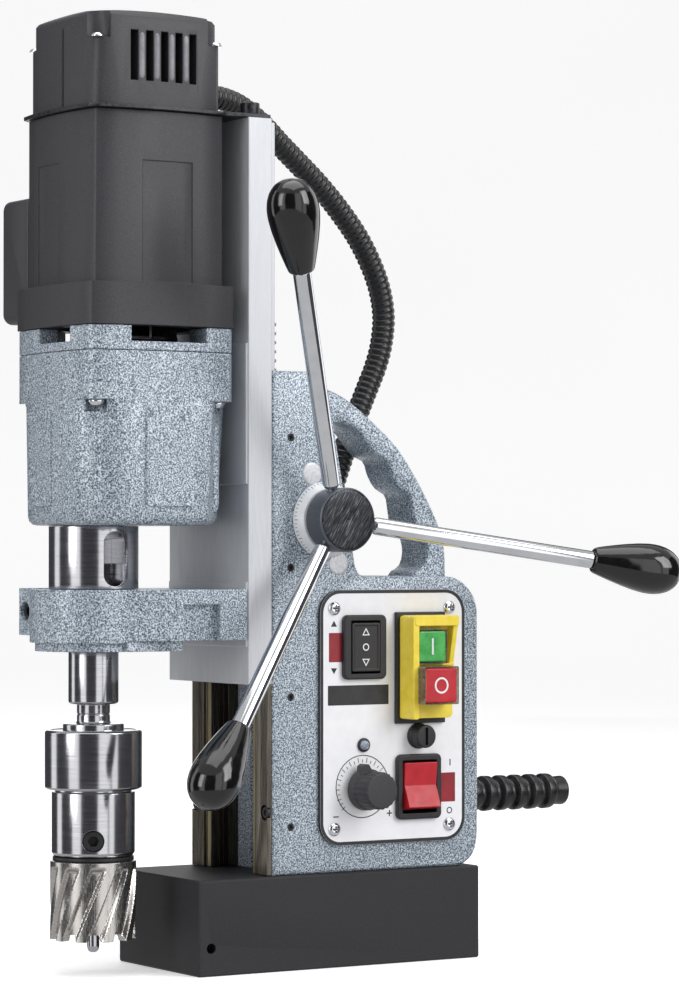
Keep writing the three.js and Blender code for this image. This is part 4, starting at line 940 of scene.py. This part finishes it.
def add_rotation_rocker():
    """Nearly flat, with a raised border and an outlined mark for each way and for rest."""
    low_corner, high_corner = low("rotation_rocker"), high("rotation_rocker")
    y, z, front = (low_corner.y, high_corner.y), (low_corner.z, high_corner.z), high_corner.x
    face = front - 0.5
    plate = rounded_block(y, z, 0.8, low_corner.x + 0.5, face)
    border = carved(
        rounded_block(y, z, 0.8, face - 0.3, front),
        rounded_block((y[0] + 1.3, y[1] - 1.3), (z[0] + 1.3, z[1] - 1.3), 0.5, face - 1, front + 1),
    )
    node = "rotation_rocker"
    add(node + "_face", joined(plate, border), "dark", node, (node,), bevel=0.2)
    spot = middle("rotation_rocker")

    def triangle(middle_z, way, reach):
        return [(spot.y, middle_z + way * reach), (spot.y - reach, middle_z - 0.7 * way * reach),
                (spot.y + reach, middle_z - 0.7 * way * reach)]

    marks = []
    for way in (1, -1):
        outer = slab(triangle(spot.z + way * 7.6, way, 2.3), face - 0.05, face + 0.06)
        marks.append(carved(outer, slab(triangle(spot.z + way * 7.5, way, 1.4), face - 1, face + 1)))
    marks.append(carved(
        slab(circle(spot.y, spot.z, 1.9), face - 0.05, face + 0.06),
        slab(circle(spot.y, spot.z, 1.3), face - 1, face + 1),
    ))
    mark = joined(*marks)
    mark.transform(ALONG_X)
    add("rotation_marks", mark, "white", "rotation_rocker")


def add_safety_cover():
    """Two levels: a high border on the left, a hood on top and right that slopes back downwards."""
    corner, far = low("safety_switch_cover"), high("safety_switch_cover")
    y, z, back, front = (corner.y, far.y), (corner.z, far.z), corner.x, far.x
    level = front - 6.5
    floor = rounded_block((y[0] + 0.6, y[1]), (z[0] + 0.3, z[1] - 0.6), 2.6, back, level)
    for button in ("start_button", "stop_button"):
        floor = carved(floor, rounded_block(*room_round(button, 0.5), 0.4, back + 1, front))
    left = rounded_block((y[0], low("start_button").y - 0.6), (z[0], z[1] - 0.3), 1.3, back, front - 0.3)
    hood = rounded_block((y[0] + 1, y[1]), (high("start_button").z + 2.6, z[1]), 1.6, back, front)
    between = (high("stop_button").z + 0.8, low("start_button").z - 0.8)
    bar = rounded_block((y[0] + 1, y[1] - 0.2), between, 0.5, back, level + 2)
    right = slab([(z[0] + 3, back), (z[0] + 3, level - 0.2), (low("start_button").z - 6, level),
                  (z[1] - 1, front - 0.1), (z[1] - 1, back)], y[1] - 3, y[1] - 0.1)
    right.transform(ALONG_Y)
    add("safety_cover_moulded", joined(floor, left, hood, bar, right), "yellow", "base",
        ("safety_switch_cover",), bevel=0.5)
    for button, name in (("start_button", "start_frame"), ("stop_button", "stop_frame")):
        surround = frame_block(*room_round(button, 0.35), 0.5, level - 1, high(button).x + 0.3)
        add(name, surround, "clear", "base")


def add_switches():
    for node in ("rotation_switch", "magnet_switch", "safety_switch_base"):
        refined(node, "dark", 0.35)
    add_rotation_rocker()
    refined("magnet_rocker", "red", 0.5)
    add_safety_cover()
    refined("start_button", "green", 0.3)
    stop = refined("stop_button", "red", 0.3)
    # The stop button's faces towards -Y get a painted highlight: the same red plastic, painted lighter.
    second_paint(stop, "red_painted_highlight", lambda centre, normal: normal.y < -0.7)
    half = 4.2
    for node in ("start_button", "stop_button"):
        spot, face = middle(node), high(node).x
        if node == "start_button":
            mark = slab(stroke(spot.y, spot.z, half, 0.55), face - 0.05, face + 0.08)
        else:
            mark = carved(
                slab(circle(spot.y, spot.z, half), face - 0.05, face + 0.08),
                slab(circle(spot.y, spot.z, half - 1), face - 1, face + 1),
            )
        mark.transform(ALONG_X)
        add(node + "_mark", mark, "white", node)


def add_small_controls():
    fuse = middle("fuse_holder")
    cap = carved(
        lathe([(0, -1), (6.6, -1), (6.6, 1.8), (6, 2.3), (6, 7.9), (5.3, 8.6), (0, 8.6)], 64, 0.3),
        slab([(-0.8, -4.5), (0.8, -4.5), (0.8, 4.5), (-0.8, 4.5)], 6.8, 10),
    )
    place = at(PANEL_FACE, fuse.y, fuse.z) @ ALONG_X
    add("fuse_cap", cap, "dark", "base", ("fuse_holder",), where=place)
    led = middle("led_lens")
    lens = lathe([(0, -2), (2.6, -2), (2.6, 1.2), (2.2, 2.5), (1.2, 3.1), (0, 3.2)], 48)
    add("led_dome", lens, "lens", "base", ("led_lens",), where=at(PANEL_FACE, led.y, led.z) @ ALONG_X)
    collar = lathe([(2.6, -0.1), (3.6, -0.1), (3.6, 1), (2.7, 1.3), (2.6, -0.1)], 48, 0.1)
    add("led_collar", collar, "dark", "base", where=at(PANEL_FACE, led.y, led.z) @ ALONG_X)
    add_knob()
    refined("speed_pot", "steel")
    refined("circuit_board", "board")


def add_knob():
    around, grooves = 160, 20
    levels = [(10.9, 2.8), (10.5, 7), (9.8, 8), (9.6, 18), (8.8, 19.1), (7.6, 19.2), (0, 19.2)]
    bm = bmesh.new()
    rings = []
    for radius, height in levels:
        if radius == 0:
            rings.append([bm.verts.new((0, 0, height * MM))])
            continue
        depth = 0.45 if 7.5 < height < 18.5 else 0.0
        rings.append([
            bm.verts.new(Vector((r * math.cos(a), r * math.sin(a), height)) * MM)
            for a in (2 * math.pi * k / around for k in range(around))
            for r in [radius - depth * (0.5 + 0.5 * math.cos(grooves * a))]
        ])
    skin(bm, rings)
    bm.faces.new(rings[0])
    knob = from_bmesh("knob", bm)
    nose = slab([(0, -6.2), (13.0, -2.0), (13.7, 0), (13.0, 2.0), (0, 6.2)], 3, 8.8)
    place = at(PANEL_FACE, *DIAL) @ ALONG_X @ Matrix.Rotation(DIAL_TURN, 4, "Z")
    add("speed_knob_turned", joined(knob, nose), "plastic", "speed_knob", ("speed_knob",),
        bevel=0.3, where=place)


# ---- cable outlet ----
def add_boot():
    start, end = high("housing").y, high("cable_boot").y
    centre = middle("cable_boot")
    profile = [
        (3.4, start - 8), (7.6, start - 8), (7.6, start + 0.3), (10.6, start + 0.3), (10.6, start + 5),
    ]
    ribs = 6
    pitch = (end - 9 - (start + 5)) / ribs
    for rib in range(ribs):
        begin = start + 5 + rib * pitch
        profile += [(6.6, begin + 0.4), (6.6, begin + 0.3 * pitch)]
        profile += [(9.5, begin + 0.46 * pitch), (9.2, begin + 0.95 * pitch)]
    profile += [(7.4, end - 8), (7.8, end - 1), (6.8, end), (3.4, end), (3.4, start - 8)]
    boot = lathe(profile, 64, 0.8)
    place = at(centre.x, 0, centre.z) @ ALONG_Y
    add("cable_boot_ribbed", boot, "rubber", "base", ("cable_boot",), where=place)


# ---- studio ----
def add_floor():
    """A pale floor that curves up into a wall all round, so there is no horizon."""
    flat, curve, wall = 3.2, 2.4, 7
    steps = 12
    turns = [step * math.pi / 2 / steps for step in range(steps + 1)]
    profile = [(flat + curve * math.sin(t), curve * (1 - math.cos(t))) for t in turns]
    bm = bmesh.new()
    rings = [[bm.verts.new((0, 0, 0))]]
    rings += [ring_of(bm, radius, height, 96) for radius, height in profile + [(flat + curve, wall)]]
    skin(bm, rings)
    mesh = from_bmesh("floor", bm)
    mesh.shade_smooth()
    floor = bpy.data.objects.new("floor", mesh)
    finish = Finish("floor_paint", "panel_paint", 0.7)
    finish.color(finish.noise(900.0, 2.0), [(0.3, linear(250, 250, 251)), (0.7, linear(253, 253, 254))])
    finish.shader.inputs["Emission Color"].default_value = (1, 1, 1, 1)
    finish.shader.inputs["Emission Strength"].default_value = 0.29
    mesh.materials.append(finish.material)
    floor.visible_diffuse = False
    floor.visible_glossy = False
    bpy.context.scene.collection.objects.link(floor)


# The bright strips of the surround: middle and half width, in turns round the machine.
STRIPS = ((0.13, 0.022), (0.29, 0.03), (0.49, 0.035), (0.56, 0.018), (0.78, 0.04), (0.93, 0.025))


def add_reflections():
    """A dark surround with bright strips, which only shows in the metal."""
    bm = bmesh.new()
    rings = [ring_of(bm, 2.6, height, 96) for height in (-0.6, 2.2)]
    skin(bm, rings)
    mesh = from_bmesh("surround", bm)
    surround = bpy.data.objects.new("surround", mesh)
    material = bpy.data.materials.new("surround")
    material.use_nodes = True
    tree = material.node_tree
    tree.nodes.clear()
    place = tree.nodes.new("ShaderNodeTexCoord")
    turn = tree.nodes.new("ShaderNodeTexGradient")
    turn.gradient_type = "RADIAL"
    strips = tree.nodes.new("ShaderNodeValToRGB")
    glow = tree.nodes.new("ShaderNodeEmission")
    output = tree.nodes.new("ShaderNodeOutputMaterial")
    tree.links.new(place.outputs["Object"], turn.inputs["Vector"])
    tree.links.new(turn.outputs["Fac"], strips.inputs["Fac"])
    tree.links.new(strips.outputs["Color"], glow.inputs["Color"])
    tree.links.new(glow.outputs["Emission"], output.inputs["Surface"])
    dim, bright = (0.05, 0.05, 0.055, 1), (1.0, 1.0, 1.0, 1)
    stops = [(0.0, dim)]
    blur = 0.008
    for centre, half in STRIPS:
        stops += [
            (centre - half - blur, dim), (centre - half, bright),
            (centre + half, bright), (centre + half + blur, dim),
        ]
    elements = strips.color_ramp.elements
    while len(elements) < len(stops):
        elements.new(0.5)
    for element, (position, color) in zip(elements, stops):
        element.position = position
        element.color = color
    glow.inputs["Strength"].default_value = 1.5
    mesh.materials.append(material)
    for ray in ("camera", "diffuse", "transmission", "shadow", "volume_scatter"):
        setattr(surround, "visible_" + ray, False)
    bpy.context.scene.collection.objects.link(surround)


def add_light(name, place, size, power, target=(0, -0.04, 0.24)):
    light = bpy.data.lights.new(name, "AREA")
    light.shape = "RECTANGLE"
    light.size, light.size_y = size
    light.energy = power
    lamp = bpy.data.objects.new(name, light)
    lamp.location = place
    lamp.rotation_mode = "QUATERNION"
    lamp.rotation_quaternion = (Vector(target) - Vector(place)).to_track_quat("-Z", "Y")
    bpy.context.scene.collection.objects.link(lamp)


def add_studio():
    add_floor()
    add_reflections()
    world = bpy.data.worlds.new("studio")
    world.use_nodes = True
    world.node_tree.nodes["Background"].inputs["Color"].default_value = (1, 1, 1, 1)
    world.node_tree.nodes["Background"].inputs["Strength"].default_value = 0.62
    bpy.context.scene.world = world
    add_light("key", (1.5, 0.9, 1.1), (0.9, 1.4), 21)
    add_light("front", (0.2, -2.0, 0.8), (0.7, 1.4), 12)
    add_light("top", (0.1, 0.0, 1.9), (1.6, 1.6), 16)
    bpy.context.scene.view_settings.view_transform = "Standard"


add_camera()
add_conduit()
add_glands()
add_magnet()
add_housing()
add_gib_screws()
add_guides()
add_slide()
add_bracket()
add_gearbox()
add_motor()
add_spindle()
add_arbor()
add_cutter()
add_feed()
add_scale_ring()
add_panel()
add_switches()
add_small_controls()
add_boot()
add_spring()
add_studio()
